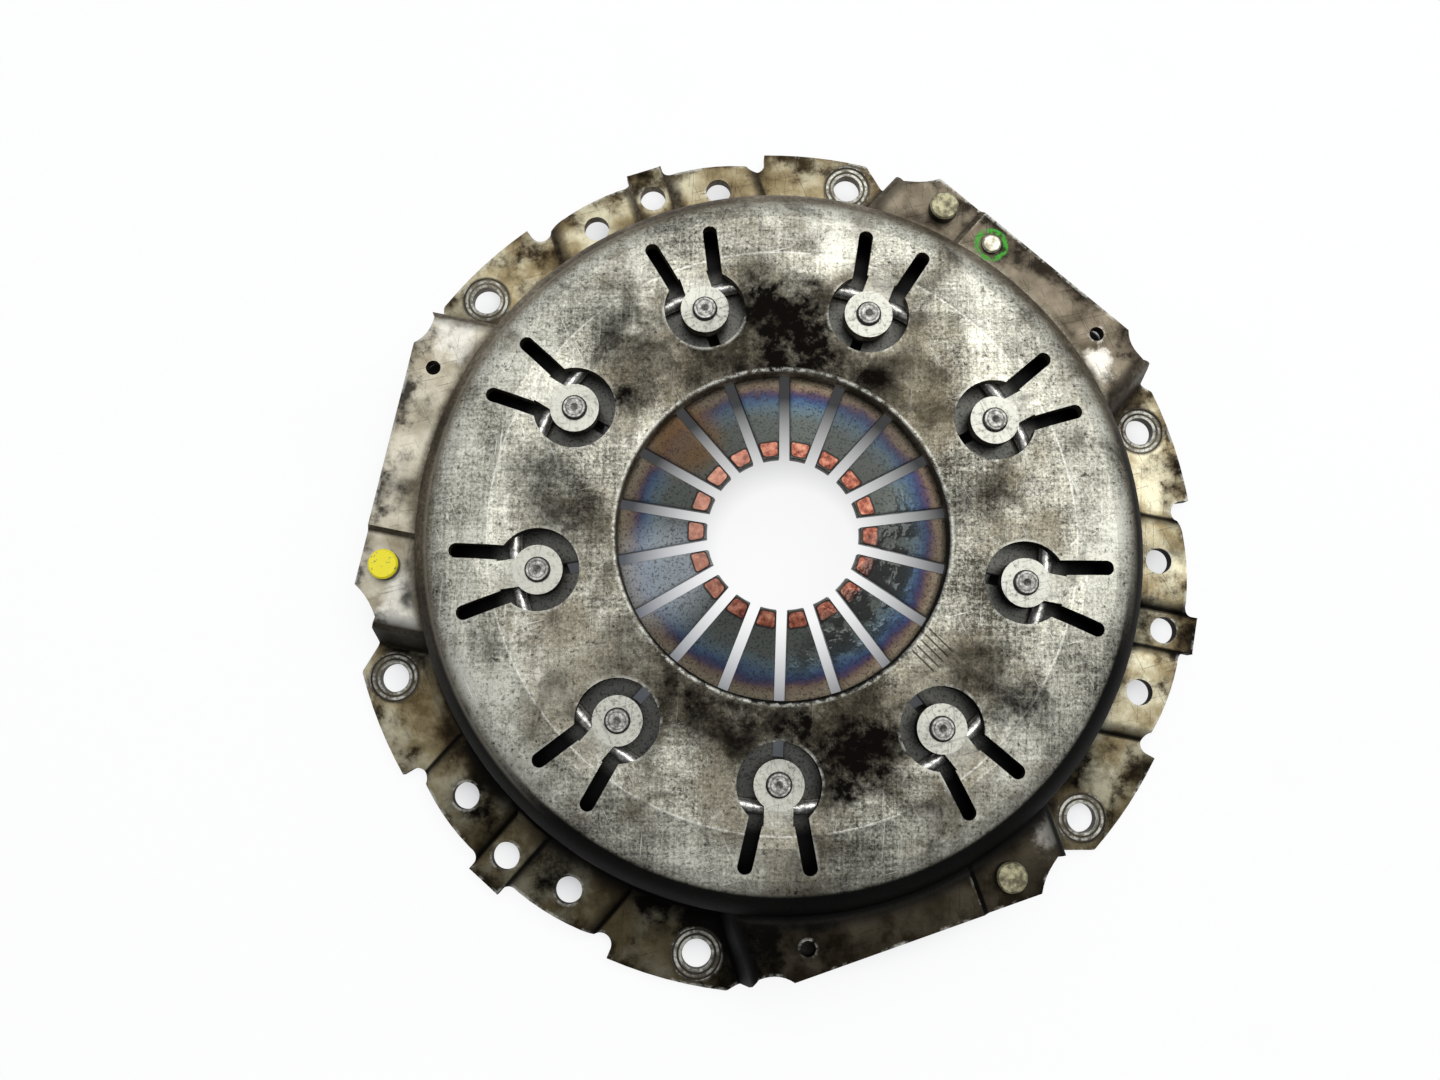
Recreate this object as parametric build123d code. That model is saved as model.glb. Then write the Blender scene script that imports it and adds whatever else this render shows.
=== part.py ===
"""Clutch pressure plate: pressed cover, diaphragm spring, cast ring, leaf straps and rivets.

Millimetres. The origin is the centre of the bolt circle on the face of the flange that bolts
to the flywheel. +Z runs from the flywheel to the gearbox, so the dome of the cover is on top.
+X runs through one of the three dowel holes. The cast ring is modelled unbolted, at the
flywheel end of its travel.
"""
from build123d import *
import os
from math import atan2, cos, degrees, hypot, radians, sin, sqrt, tan

# ---------------------------------------------------------------- driving dimensions
# cover: a dome pressed from one sheet, with a stepped flange
sheet = 3.8                 # thickness of the cover sheet
dome_height = 37.3          # flange face to the top of the dome
opening_r = 46.15           # round opening in the middle of the dome
opening_edge = 1.4          # rounding of the upper edge of the opening
crown_r = 82.3              # the flat crown ends here and a shallow cone begins
cone_angle = 6.5            # slope of that cone, degrees
wall_foot_r = 107.4         # outside of the dome wall, carried down to the flange face
wall_draft = 6.5            # lean of the dome wall, degrees
corner_radius = 12.0        # outer rounding from cone to wall
flange_bend = 4.0           # inside radius of the bend from wall to flange
parts_of_turn = 3           # the flange repeats three times round

# flange: flat pads on the flywheel, raised lands between them
pad_edge_r = 128.7          # outer edge of the bolt pads
land_edge_r = 125.0         # outer edge of the raised hole lands
land_rise = 2.4             # how far the hole lands stand above the pads
dowel_pad_half = 5.2        # half width of the narrow pad round each dowel hole
land_end = 34.6             # from the dowel axis to the foot of the outer step of a land
step_run = 2.6              # length of a step between pad and land
land_bend_top = 5.0         # outer bend radius at the head of such a step
land_bend_foot = 1.2        # and at its foot
tab_edge_r = 129.6          # outer edge of the tab beyond each dowel hole
tab_half = 5.6              # half width of that tab
pad_start_ccw = 18.7        # bolt pad, degrees from the dowel axis, counterclockwise side
pad_end_ccw = 34.7
pad_start_cw = 17.4         # the same on the clockwise side
pad_end_cw = 32.1
pad_corner_r = 1.5          # rounding of the far corners of the bolt pads
tab_root_r = 3.0            # hollow rounding beside the tab
notch_depth = 2.2           # relief notch between land and bolt pad, in from the land's edge
notch_lead = 2.75           # its arc starts this many degrees before the pad
notch_lip = 1.0             # and this far inside the land's edge
notch_bottom = 1.05         # it is deepest this many degrees before the pad
notch_exit = 2.55           # and ends this far inside the pad's edge
relief_after = ((48.3, 1.3), (45.0, 3.8), (40.2, 3.2), (36.0, 0.0))
relief_before = ((49.7, 6.2), (44.5, 7.8), (40.7, 5.1), (36.6, 0.0))
# the fork where pad meets strap land, then the hollow beyond it, after and before each dowel:
# from the strap land's axis, and in from its straight edge

# holes of the flange
bolt_circle_d = 240.0
bolt_hole_d = 8.5           # M8 cover bolts
bolt_seat_d = 14.4          # ring pressed bright by the bolt head
bolt_seat_depth = 0.3
bolt_offset = 30.0          # bolts lie this many degrees either side of each dowel
dowel_hole_d = 8.0          # 8 mm dowels
land_hole_d = 7.8
land_hole_inset = 8.5       # from the edge of the land
land_hole_offset = 10.0     # degrees either side of each dowel

# strap lands: high lands that the leaf straps are riveted under
strap_land_z = 22.0         # underside of the land above the flange face
strap_seat_drop = 1.5       # the riveted end of the land is set down by this much
strap_seat_start = 19.2     # from the land's axis to the top of that set-down
strap_seat_run = 1.6
strap_seat_bend = 1.2
strap_wall_foot = 50.9      # from the land's axis to the foot of its end walls, outside
strap_wall_head = 46.6      # the same at the top of the walls
strap_wall_bend_top = 5.6   # outer bend radius at the top of the end walls
strap_wall_bend_foot = 2.0  # outer bend radius at the foot
strap_edge_w = 116.4        # from the object's axis to the straight outer edge
access_hole_d = 4.3         # hole over each ring rivet
balance_hole_d = 5.0        # hole of the balance rivet
balance_s = 11.5           # its place on the first strap land, along and out
balance_w = 109.6

# tongues: nine tongues cut from the crown carry the spacer rivets
tongue_count = 9
tongue_rivet_r = 68.7       # circle of the spacer rivets
tongue_disc_r = 6.9         # round end of a tongue
tongue_window_r = 11.6      # window round it
tongue_neck_half = 3.95     # half width of the neck
tongue_set = 0.4            # tongues are set this far below the crown
tongue_break_r = 85.5       # where that set begins
slot_inner = (77.0, 5.95)   # centre line of a tongue slot: out from the axis, sideways
slot_outer = (90.4, 8.75)
slot_width = 4.1

# diaphragm spring
spring_thick = 2.4
spring_outer_r = 97.5
spring_tip_r = 21.6
finger_count = 18
finger_slot = 3.0           # width of the slots between fingers
finger_slot_end_d = 10.2    # round outer end, which the spacer rivets pass through
plate_slope = 0.17          # rise per mm towards the axis, unbolted: closed outer ring
finger_slope = 0.09         # roots of the fingers
tip_slope = 0.20            # ends of the fingers, bent up
ring_inner_r = 60.0         # where the closed ring's slope ends
finger_bend_r = 44.0        # where the fingers bend up

# pivot rings and spacer rivets
wire_d = 4.0
pivot_r = 75.1              # circle of both wire rings
rivet_shoulder_d = 8.6      # thick part between tongue and lower head
rivet_neck_d = 7.0          # part through the tongue
rivet_neck_gap = 0.1        # radial clearance in the tongue
rivet_stand = 1.2           # riveted end above the tongue
rivet_foot_d = 15.0         # lower head, which carries the lower wire ring
rivet_foot_thick = 3.5
rivet_edge = 0.5
rivet_pit_r = 1.1           # pit in the riveted end
rivet_pit_depth = 0.6
seat_gap = 0.03             # gap left where a wire ring or strap seats

# cast pressure ring
face_z = 4.7                # friction face above the flange face, unbolted
ring_bore_r = 66.5
ring_edge_r = 100.4
ring_thin = 8.6             # thickness at the bore, below the spacer rivets
ring_thick = 12.1           # thickness at the rim
thin_end_r = 82.0           # the thin part ends here
thick_start_r = 85.0
ridge_r = 94.5              # ridge that the spring presses on
ridge_crown_half = 0.8      # half width of its flat top
ridge_shoulder_half = 1.7   # half width a little lower
ridge_shoulder_drop = 0.8
ridge_foot_half = 4.2       # half width where it meets the ring
ridge_gap = 0.3             # spring to ridge, unbolted
vent_count = 9              # grooves through the ridge
vent_width = 8.0
ring_chamfer = 1.0

# leaf straps: three packs of three leaves, each from a cover rivet to a ring rivet
leaf_count = 3
leaf_thick = 0.8
leaf_width = 14.0
strap_rivet_s = 29.65       # both rivets lie this far from the land's axis
strap_rivet_w = 109.1       # and this far out
strap_drop = 6.2            # the ring end lies this much lower, unbolted
strap_flat_end = 7.6        # flat part of a strap from the rivet towards the middle
strap_rivet_d = 6.5
leaf_hole_gap = 0.3         # radial clearance of a leaf on its rivet
cover_head_d = 8.6          # tall head on top of the cover
cover_head_height = 3.6
ring_head_d = 9.0
ring_head_height = 2.4
foot_head_d = 10.5
foot_head_height = 2.2
lug_half = 10.2             # half width of a lug of the cast ring, along the strap
lug_reach = 8.4             # from the rivet to the lug's outer end
lug_bottom = 0.9            # underside of a lug above the friction face
lug_bore_d = 12.0           # counterbore for the foot of the ring rivet
lug_root_w = 84.0

# balance rivet
balance_head_d = 5.7
balance_head_height = 1.3
balance_foot_d = 8.0
balance_foot_height = 1.5

# ---------------------------------------------------------------- places worked out from these
dowel_angles = [i * 360 / parts_of_turn for i in range(parts_of_turn)]
strap_angles = [a + 180 / parts_of_turn for a in dowel_angles]
bolt_r = bolt_circle_d / 2
reach = tab_edge_r + 12     # tool bodies run out past the flange
below = -1.0                # and down to here, under its face
overrun = 1.0               # cutters run this far past what they cut
bend_strip = 8.0            # a step's section is drawn this far beyond its foot
strip_sink = 0.03           # and that strip lies this much inside the flat sheet
strap_top = strap_land_z + sheet
seat_bottom = strap_land_z - strap_seat_drop
seat_top = seat_bottom + sheet
strap_stack = leaf_count * leaf_thick
crown_bottom = dome_height - sheet
tongue_bottom = crown_bottom - tongue_set
tongue_top = dome_height - tongue_set

plate_tilt = atan2(plate_slope, 1)
wire_rise = wire_d / 2 / cos(plate_tilt)
upper_wire_z = tongue_bottom - seat_gap - wire_d / 2
spring_pivot_top = upper_wire_z - wire_rise - seat_gap
spring_pivot_bottom = spring_pivot_top - spring_thick / cos(plate_tilt)
lower_wire_z = spring_pivot_bottom - seat_gap - wire_rise
foot_top = lower_wire_z - wire_d / 2 - seat_gap

ridge_top = spring_pivot_bottom - plate_slope * (ridge_r - pivot_r) - ridge_gap
strap_end_top = seat_bottom - strap_drop
lug_top = strap_end_top - strap_stack - seat_gap


def polar(r, angle):
    return (r * cos(radians(angle)), r * sin(radians(angle)))


def land_point(axis, along, out):
    """A point given from a land's own axis: along it counterclockwise, and out from the centre."""
    a = radians(axis)
    return (out * cos(a) - along * sin(a), out * sin(a) + along * cos(a))


def turned(shape, angle):
    return Rot(0, 0, angle) * shape


def solid_of_turn(points, rounded=()):
    """Revolve a closed outline of (radius, height) points; rounded lists (point number, radius)."""
    face = Plane.XZ * make_face(Polyline(*points, close=True))
    for number, radius in rounded:
        spot = Vector(points[number][0], 0, points[number][1])
        corner = face.vertices().sort_by_distance(spot)[0]
        face = fillet(corner, radius)
    return revolve(face, Axis.Z)


def prism_out(points, axis, rounded=(), inner=60.0):
    """Extrude an outline of (along, height) points outwards along the axis of a land."""
    face = make_face(Polyline(*points, close=True))
    for number, radius in rounded:
        corner = face.vertices().sort_by_distance(Vector(*points[number], 0))[0]
        face = fillet(corner, radius)
    stand_up = Plane(origin=(inner, 0, 0), x_dir=(0, 1, 0), z_dir=(1, 0, 0))
    return turned(extrude(stand_up * face, reach - inner), axis)


def bends(top, foot, depth, run, rise):
    """Radii for the head and foot of a pressed step whose skin is moved in by depth."""
    lean = atan2(rise, run)
    room = 0.9 * hypot(run, rise) / tan(lean / 2)
    share = min(1, room / (top + foot))
    return max(share * top - depth, 0.3), share * foot + depth


def crossing(p, slope_p, q, slope_q):
    """Where the line through p meets the line through q; slopes are dz/dr."""
    r = (q[1] - p[1] + slope_p * p[0] - slope_q * q[0]) / (slope_p - slope_q)
    return (r, p[1] + slope_p * (r - p[0]))


# ---------------------------------------------------------------- cover
def cover_surface(depth, bend):
    """The dome and level flange as a solid of turn, its skin moved inwards by depth."""
    cone_fall = -tan(radians(cone_angle))
    wall_fall = -1 / tan(radians(wall_draft))
    top = dome_height - depth
    crown = (crown_r - depth * tan(radians(cone_angle / 2)), top)
    wall_foot = (wall_foot_r - depth / cos(radians(wall_draft)), 0)
    shoulder = crossing(crown, cone_fall, wall_foot, wall_fall)
    flange_top = sheet - depth
    foot = crossing(wall_foot, wall_fall, (0, flange_top), 0)
    points = [(0, below), (0, top), crown, shoulder, foot, (reach, flange_top), (reach, below)]
    return solid_of_turn(points, [(3, corner_radius - depth), (4, bend)])


def strap_land_body(depth, axis):
    """Everything below the skin of one strap land, the skin moved down by depth."""
    lean = atan2(strap_top - sheet, strap_wall_foot - strap_wall_head)
    shift = depth * tan(lean / 2)
    foot = strap_wall_foot - shift
    head = strap_wall_head - shift
    top, low = strap_top - depth, sheet - depth
    fall = depth * tan(atan2(strap_seat_drop, strap_seat_run) / 2)
    seat_head = strap_seat_start - fall
    seat_foot = strap_seat_start + strap_seat_run - fall
    slope = (foot - head) / (top - low)
    seat_end = head + slope * strap_seat_drop
    hem = foot + bend_strip
    low -= strip_sink
    points = [(-hem, below), (-hem, low), (-foot, low), (-head, top), (seat_head, top),
              (seat_foot, top - strap_seat_drop), (seat_end, top - strap_seat_drop),
              (foot, low), (hem, low), (hem, below)]
    bend, bend_low = bends(strap_wall_bend_top, strap_wall_bend_foot, depth, foot - head, top - low)
    seat_bend = strap_seat_bend + depth
    return prism_out(points, axis, [(7, bend_low), (6, bend), (5, seat_bend), (3, bend),
                                    (2, bend_low)])


def hole_lands_body(depth, axis):
    """Everything below the skin of the two hole lands beside one dowel pad."""
    shift = depth * tan(atan2(land_rise, step_run) / 2)
    inner_foot = dowel_pad_half + shift
    inner_head = inner_foot + step_run
    outer_foot = land_end - shift
    outer_head = outer_foot - step_run
    low, top = sheet - depth, sheet + land_rise - depth
    bend, bend_low = bends(land_bend_top, land_bend_foot, depth, step_run, land_rise)
    hem = outer_foot + bend_strip
    low -= strip_sink
    one = [(0, below), (0, low), (inner_foot, low), (inner_head, top), (outer_head, top),
           (outer_foot, low), (hem, low), (hem, below)]
    rounded = [(2, bend_low), (3, bend), (4, bend), (5, bend_low)]
    other = [(-along, z) for along, z in one]
    return prism_out(one, axis, rounded) + prism_out(other, axis, rounded)


def half_outline(dowel, side):
    """The trimmed edge from the middle of a dowel tab to the middle of a strap land."""
    start, end = (pad_start_ccw, pad_end_ccw) if side > 0 else (pad_start_cw, pad_end_cw)
    relief = relief_after if side > 0 else relief_before

    def at(r, angle):
        return polar(r, dowel + side * angle)

    def beside(along, out):
        return land_point(dowel, side * along, out)

    def on_strap_land(along, inset):
        return land_point(dowel + side * 60, -side * along, strap_edge_w - inset)

    tab_corner = beside(tab_half, tab_edge_r)
    land_start_w = sqrt(land_edge_r ** 2 - (tab_half + tab_root_r) ** 2)
    tab_foot = beside(tab_half, land_start_w + tab_root_r)
    arc_inset = tab_root_r * (1 - sqrt(0.5))
    tab_root = beside(tab_half + arc_inset, land_start_w + arc_inset)
    land_start = beside(tab_half + tab_root_r, land_start_w)
    land_stop = at(land_edge_r - notch_lip, start - notch_lead)
    notch = at(land_edge_r - notch_depth, start - notch_bottom)
    pad_foot = at(pad_edge_r - notch_exit, start)
    pad_start, pad_stop = at(pad_edge_r, start), at(pad_edge_r, end)
    fork, foot, bay, back = (on_strap_land(*place) for place in relief)
    return [
        Line(beside(0, tab_edge_r), tab_corner),
        Line(tab_corner, tab_foot),
        ThreePointArc(tab_foot, tab_root, land_start),
        ThreePointArc(land_start, at(land_edge_r, start / 2), land_stop),
        ThreePointArc(land_stop, notch, pad_foot),
        Line(pad_foot, pad_start),
        ThreePointArc(pad_start, at(pad_edge_r, (start + end) / 2), pad_stop),
        Line(pad_stop, fork),
        Line(fork, foot),
        ThreePointArc(foot, bay, back),
        Line(back, on_strap_land(0, 0)),
    ]


def flange_outline():
    """The whole trimmed edge of the flange, with the far corners of the bolt pads rounded."""
    curves = []
    for dowel in dowel_angles:
        curves += half_outline(dowel, 1) + half_outline(dowel, -1)
    face = make_face([edge for curve in curves for edge in curve.edges()])
    far = []
    for dowel in dowel_angles:
        for angle in (dowel + pad_end_ccw, dowel - pad_end_cw):
            spot = Vector(*polar(pad_edge_r, angle))
            far.append(face.vertices().sort_by_distance(spot)[0])
    return fillet(far, pad_corner_r)


def tongue_window():
    """What is cut away round the tongue that lies on +X."""
    window = Pos(tongue_rivet_r, 0) * Circle(tongue_window_r)
    neck_length = slot_outer[0] - tongue_rivet_r
    neck = Pos(tongue_rivet_r + neck_length / 2, 0) * Rectangle(neck_length, 2 * tongue_neck_half)
    window -= neck + Pos(tongue_rivet_r, 0) * Circle(tongue_disc_r)
    dx, dy = slot_outer[0] - slot_inner[0], slot_outer[1] - slot_inner[1]
    lean = degrees(atan2(dy, dx))
    middle = ((slot_inner[0] + slot_outer[0]) / 2, (slot_inner[1] + slot_outer[1]) / 2)
    for side in (1, -1):
        slot = SlotCenterToCenter(hypot(dx, dy), slot_width)
        window += Pos(middle[0], side * middle[1]) * Rot(0, 0, side * lean) * slot
    return window


def tongue_shift(bottom):
    """The slab of one tongue, inside its break line, that is cut or added to set it down."""
    neck_to_break = tongue_break_r - tongue_rivet_r
    root_half = slot_inner[1] + slot_width / 2
    span = Pos(tongue_rivet_r + neck_to_break / 2, 0) * Rectangle(neck_to_break, 2 * root_half)
    plan = span + Pos(tongue_rivet_r, 0) * Circle(tongue_disc_r)
    plan -= tongue_window()
    return Pos(0, 0, bottom) * extrude(plan, tongue_set)


def through(diameter, x, y):
    """A drill that runs right through the flange or dome at (x, y)."""
    return Pos(x, y, -overrun) * extrude(Circle(diameter / 2), dome_height + 2 * overrun)


def make_cover():
    body = cover_surface(0, flange_bend)
    hollow = cover_surface(sheet, flange_bend + sheet)
    for axis in strap_angles:
        body += strap_land_body(0, axis)
        hollow += strap_land_body(sheet, axis)
    for axis in dowel_angles:
        body += hole_lands_body(0, axis)
        hollow += hole_lands_body(sheet, axis)
    trim = Pos(0, 0, 2 * below) * extrude(flange_outline(), dome_height - 4 * below)
    cover = (body - hollow) & trim
    opening = extrude(Circle(opening_r), dome_height + overrun)
    cover -= opening
    rim = cover.edges().filter_by(GeomType.CIRCLE).filter_by(
        lambda e: abs(e.radius - opening_r) < 0.01 and e.center().Z > dome_height - 0.1)
    cover = fillet(rim, opening_edge)

    window = Pos(0, 0, strap_land_z) * extrude(tongue_window(), dome_height)
    for i in range(tongue_count):
        angle = i * 360 / tongue_count
        cover -= turned(window, angle)
        cover -= turned(tongue_shift(tongue_top), angle)
        cover += turned(tongue_shift(tongue_bottom), angle)
        cover -= through(rivet_neck_d + 2 * rivet_neck_gap, *polar(tongue_rivet_r, angle))

    for dowel in dowel_angles:
        cover -= through(dowel_hole_d, *polar(bolt_r, dowel))
        for side in (1, -1):
            x, y = polar(bolt_r, dowel + side * bolt_offset)
            cover -= through(bolt_hole_d, x, y)
            seat = extrude(Circle(bolt_seat_d / 2), sheet)
            cover -= Pos(x, y, sheet - bolt_seat_depth) * seat
            hole = polar(land_edge_r - land_hole_inset, dowel + side * land_hole_offset)
            cover -= through(land_hole_d, *hole)
    for axis in strap_angles:
        cover -= through(strap_rivet_d, *land_point(axis, strap_rivet_s, strap_rivet_w))
        cover -= through(access_hole_d, *land_point(axis, -strap_rivet_s, strap_rivet_w))
    cover -= through(balance_hole_d, *land_point(strap_angles[0], balance_s, balance_w))
    return cover


# ---------------------------------------------------------------- diaphragm spring
def spring_top(r):
    """Height of the spring's upper face at radius r, unbolted."""
    z = spring_pivot_top + plate_slope * (pivot_r - max(r, ring_inner_r))
    if r < ring_inner_r:
        z += finger_slope * (ring_inner_r - max(r, finger_bend_r))
    if r < finger_bend_r:
        z += tip_slope * (finger_bend_r - r)
    return z


def make_spring():
    radii = [spring_tip_r, finger_bend_r, ring_inner_r, spring_outer_r]
    upright = spring_thick / cos(plate_tilt)
    upper = [(r, spring_top(r)) for r in radii]
    lower = [(r, spring_top(r) - upright) for r in reversed(radii)]
    spring = solid_of_turn(upper + lower)
    half = finger_slot / 2
    cut = Pos(tongue_rivet_r / 2, 0) * Rectangle(tongue_rivet_r, finger_slot)
    cut += Pos(tongue_rivet_r, 0) * Circle(finger_slot_end_d / 2)
    cutter = extrude(cut, 2 * dome_height)
    for i in range(finger_count):
        spring -= turned(cutter, i * 360 / finger_count)
    return spring


# ---------------------------------------------------------------- wire rings and spacer rivets
def make_wire(height):
    return Pos(0, 0, height) * Torus(pivot_r, wire_d / 2)


def make_spacer_rivet(angle):
    """Lower head, thick shoulder up to the tongue, neck through it and a flat riveted end."""
    foot_r, shoulder_r, neck_r = rivet_foot_d / 2, rivet_shoulder_d / 2, rivet_neck_d / 2
    foot_bottom = foot_top - rivet_foot_thick
    shoulder_top = tongue_bottom - seat_gap
    end = tongue_top + rivet_stand
    e = rivet_edge
    points = [(0, foot_bottom), (foot_r - e, foot_bottom), (foot_r, foot_bottom + e),
              (foot_r, foot_top), (shoulder_r, foot_top), (shoulder_r, shoulder_top),
              (neck_r, shoulder_top), (neck_r, end - e), (neck_r - e, end), (rivet_pit_r, end),
              (0, end - rivet_pit_depth)]
    return Pos(*polar(tongue_rivet_r, angle)) * solid_of_turn(points)


# ---------------------------------------------------------------- cast pressure ring
def make_pressure_ring():
    thin_top, thick_top = face_z + ring_thin, face_z + ring_thick
    shoulder_z = ridge_top - ridge_shoulder_drop
    c = ring_chamfer
    points = [(ring_bore_r + c, face_z), (ring_edge_r - c, face_z), (ring_edge_r, face_z + c),
              (ring_edge_r, thick_top), (ridge_r + ridge_foot_half, thick_top),
              (ridge_r + ridge_shoulder_half, shoulder_z), (ridge_r + ridge_crown_half, ridge_top),
              (ridge_r - ridge_crown_half, ridge_top), (ridge_r - ridge_shoulder_half, shoulder_z),
              (ridge_r - ridge_foot_half, thick_top), (thick_start_r, thick_top),
              (thin_end_r, thin_top), (ring_bore_r, thin_top), (ring_bore_r, face_z + c)]
    ring = solid_of_turn(points)
    vent_length = 2 * (ridge_foot_half + overrun)
    vent = Pos(ridge_r, 0, thick_top) * extrude(Rectangle(vent_length, vent_width), dome_height)
    for i in range(vent_count):
        ring -= turned(vent, (i + 0.5) * 360 / vent_count)
    for axis in strap_angles:
        ring += make_lug(axis)
        x, y = land_point(axis, -strap_rivet_s, strap_rivet_w)
        ring -= through(strap_rivet_d, x, y)
        ring -= Pos(x, y, 0) * extrude(Circle(lug_bore_d / 2), face_z + lug_bottom + foot_head_height)
    return ring


def make_lug(axis):
    """A lug that reaches out of the ring to the ring rivet of one strap."""
    bottom = face_z + lug_bottom
    out = strap_rivet_w + lug_reach - lug_half
    plan = Pos((lug_root_w + out) / 2, -strap_rivet_s) * Rectangle(out - lug_root_w, 2 * lug_half)
    plan += Pos(out, -strap_rivet_s) * Circle(lug_half)
    lug = Pos(0, 0, bottom) * extrude(plan, lug_top - bottom)
    inside = extrude(Circle((thick_start_r + ridge_r) / 2), dome_height)
    return turned(lug, axis) - inside


# ---------------------------------------------------------------- leaf straps and their rivets
def make_leaf(axis, number):
    """One leaf: flat under the cover land, sloping down to the lug, flat on the lug."""
    drop = number * leaf_thick
    bend = strap_rivet_s - strap_flat_end
    end = strap_rivet_s + leaf_width / 2
    high = seat_bottom - seat_gap / 2 - drop
    low = strap_end_top - drop
    side = [(end, high), (bend, high), (-bend, low), (-end, low)]
    below = [(s, z - leaf_thick) for s, z in reversed(side)]
    blank = prism_out(side + below, 0)
    plan = Rectangle(leaf_width, 2 * strap_rivet_s)
    for s in (strap_rivet_s, -strap_rivet_s):
        plan += Pos(0, s) * Circle(leaf_width / 2)
        plan -= Pos(0, s) * Circle(strap_rivet_d / 2 + leaf_hole_gap)
    leaf = blank & Pos(strap_rivet_w, 0, 0) * extrude(plan, dome_height)
    return turned(leaf, axis)


def headed_pin(x, y, foot_z, foot_height, foot_d, shank_d, head_z, head_height, head_d):
    """A rivet: a foot that ends at foot_z, a shank, and a head that starts at head_z."""
    e = rivet_edge
    foot_r, shank_r, head_r = foot_d / 2, shank_d / 2, head_d / 2
    points = [(0, foot_z - foot_height), (foot_r - e, foot_z - foot_height),
              (foot_r, foot_z - foot_height + e), (foot_r, foot_z), (shank_r, foot_z),
              (shank_r, head_z), (head_r, head_z), (head_r, head_z + head_height - e),
              (head_r - e, head_z + head_height), (0, head_z + head_height)]
    return Pos(x, y) * solid_of_turn(points)


def make_cover_rivet(axis):
    x, y = land_point(axis, strap_rivet_s, strap_rivet_w)
    stack_bottom = seat_bottom - strap_stack - seat_gap
    return headed_pin(x, y, stack_bottom, foot_head_height, foot_head_d, strap_rivet_d,
                      seat_top, cover_head_height, cover_head_d)


def make_ring_rivet(axis):
    x, y = land_point(axis, -strap_rivet_s, strap_rivet_w)
    counterbore = face_z + lug_bottom + foot_head_height
    return headed_pin(x, y, counterbore, foot_head_height, foot_head_d, strap_rivet_d,
                      strap_end_top + seat_gap, ring_head_height, ring_head_d)


def make_balance_rivet():
    x, y = land_point(strap_angles[0], balance_s, balance_w)
    return headed_pin(x, y, strap_land_z, balance_foot_height, balance_foot_d, balance_hole_d,
                      strap_top, balance_head_height, balance_head_d)


# ---------------------------------------------------------------- write every piece
def save(name, shape):
    export_step(shape, f"parts/{name}.step")


os.makedirs("parts", exist_ok=True)
save("cover", make_cover())
save("diaphragm_spring", make_spring())
save("pivot_ring_upper", make_wire(upper_wire_z))
save("pivot_ring_lower", make_wire(lower_wire_z))
for i in range(tongue_count):
    save(f"spacer_rivet_{i + 1}", make_spacer_rivet(i * 360 / tongue_count))
save("pressure_ring", make_pressure_ring())
for letter, axis in zip("abc", strap_angles):
    for number in range(leaf_count):
        save(f"strap_{letter}_leaf_{number + 1}", make_leaf(axis, number))
    save(f"strap_{letter}_cover_rivet", make_cover_rivet(axis))
    save(f"strap_{letter}_ring_rivet", make_ring_rivet(axis))
save("balance_rivet", make_balance_rivet())
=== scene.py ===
# %% [markdown]
# # A clutch pressure plate in Blender
#
# A pressure plate clamps a car's clutch disc against the flywheel. A cover of drawn steel carries a
# slit spring, and the spring pushes on a cast iron ring that hangs on leaf straps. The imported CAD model
# gives every shape and place. This script gives each piece its finish, makes the pieces that bend when
# the clutch is worked, and sets up the floor, the light and the camera. Blender works in metres, and
# the finishes are worked out in millimetres.

# %%
# Load the frame
from math import acos, asin, cos, degrees, pi, radians, sin
from types import SimpleNamespace

import bmesh
import bpy
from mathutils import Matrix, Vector


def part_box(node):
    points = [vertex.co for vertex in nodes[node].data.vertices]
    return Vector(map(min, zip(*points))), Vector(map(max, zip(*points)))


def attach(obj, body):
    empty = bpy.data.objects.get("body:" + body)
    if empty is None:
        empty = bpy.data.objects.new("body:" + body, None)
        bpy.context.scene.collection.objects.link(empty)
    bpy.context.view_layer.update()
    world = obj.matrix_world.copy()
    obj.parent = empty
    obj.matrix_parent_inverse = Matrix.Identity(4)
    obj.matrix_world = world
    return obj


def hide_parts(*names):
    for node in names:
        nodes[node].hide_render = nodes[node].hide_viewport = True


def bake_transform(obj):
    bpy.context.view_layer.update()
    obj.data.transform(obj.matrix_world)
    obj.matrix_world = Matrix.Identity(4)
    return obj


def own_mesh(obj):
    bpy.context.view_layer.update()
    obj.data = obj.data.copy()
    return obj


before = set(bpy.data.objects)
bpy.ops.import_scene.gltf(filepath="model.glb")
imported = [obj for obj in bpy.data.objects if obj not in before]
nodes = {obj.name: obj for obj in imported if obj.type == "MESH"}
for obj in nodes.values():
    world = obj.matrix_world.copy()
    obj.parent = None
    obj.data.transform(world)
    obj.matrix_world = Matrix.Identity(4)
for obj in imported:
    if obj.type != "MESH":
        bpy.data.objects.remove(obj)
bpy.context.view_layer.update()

# %% [markdown]
# ## Features that the finishes follow
#
# Wear and dirt follow the shape: bolt heads press bright rings round their holes, and oil gathers where
# the sheet bends. So the finishes need to know where these features lie.

# %%
# Features of the plate, in millimetres: _R from its axis, _Z above the flange face
BOLT_CIRCLE_R = 120.0
RUBBED_RIM_R = 47.2         # the rim of the opening is rubbed bright as far out as this
TONGUE_R = 68.7             # circle of the tongue ends and the spacer rivets through them
BREAK_R = 82.3              # the flat crown turns into a shallow cone here
CORNER_R = 100.2            # middle of the rounded corner between cone and wall
LAND_TOP_Z = 25.8           # top of the three high lands that carry the straps
BOLTS, TONGUES, STRAPS, FINGERS = 6, 9, 3, 18
print("tongues are", round(2 * TONGUE_R * sin(pi / TONGUES), 1), "mm apart")

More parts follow.
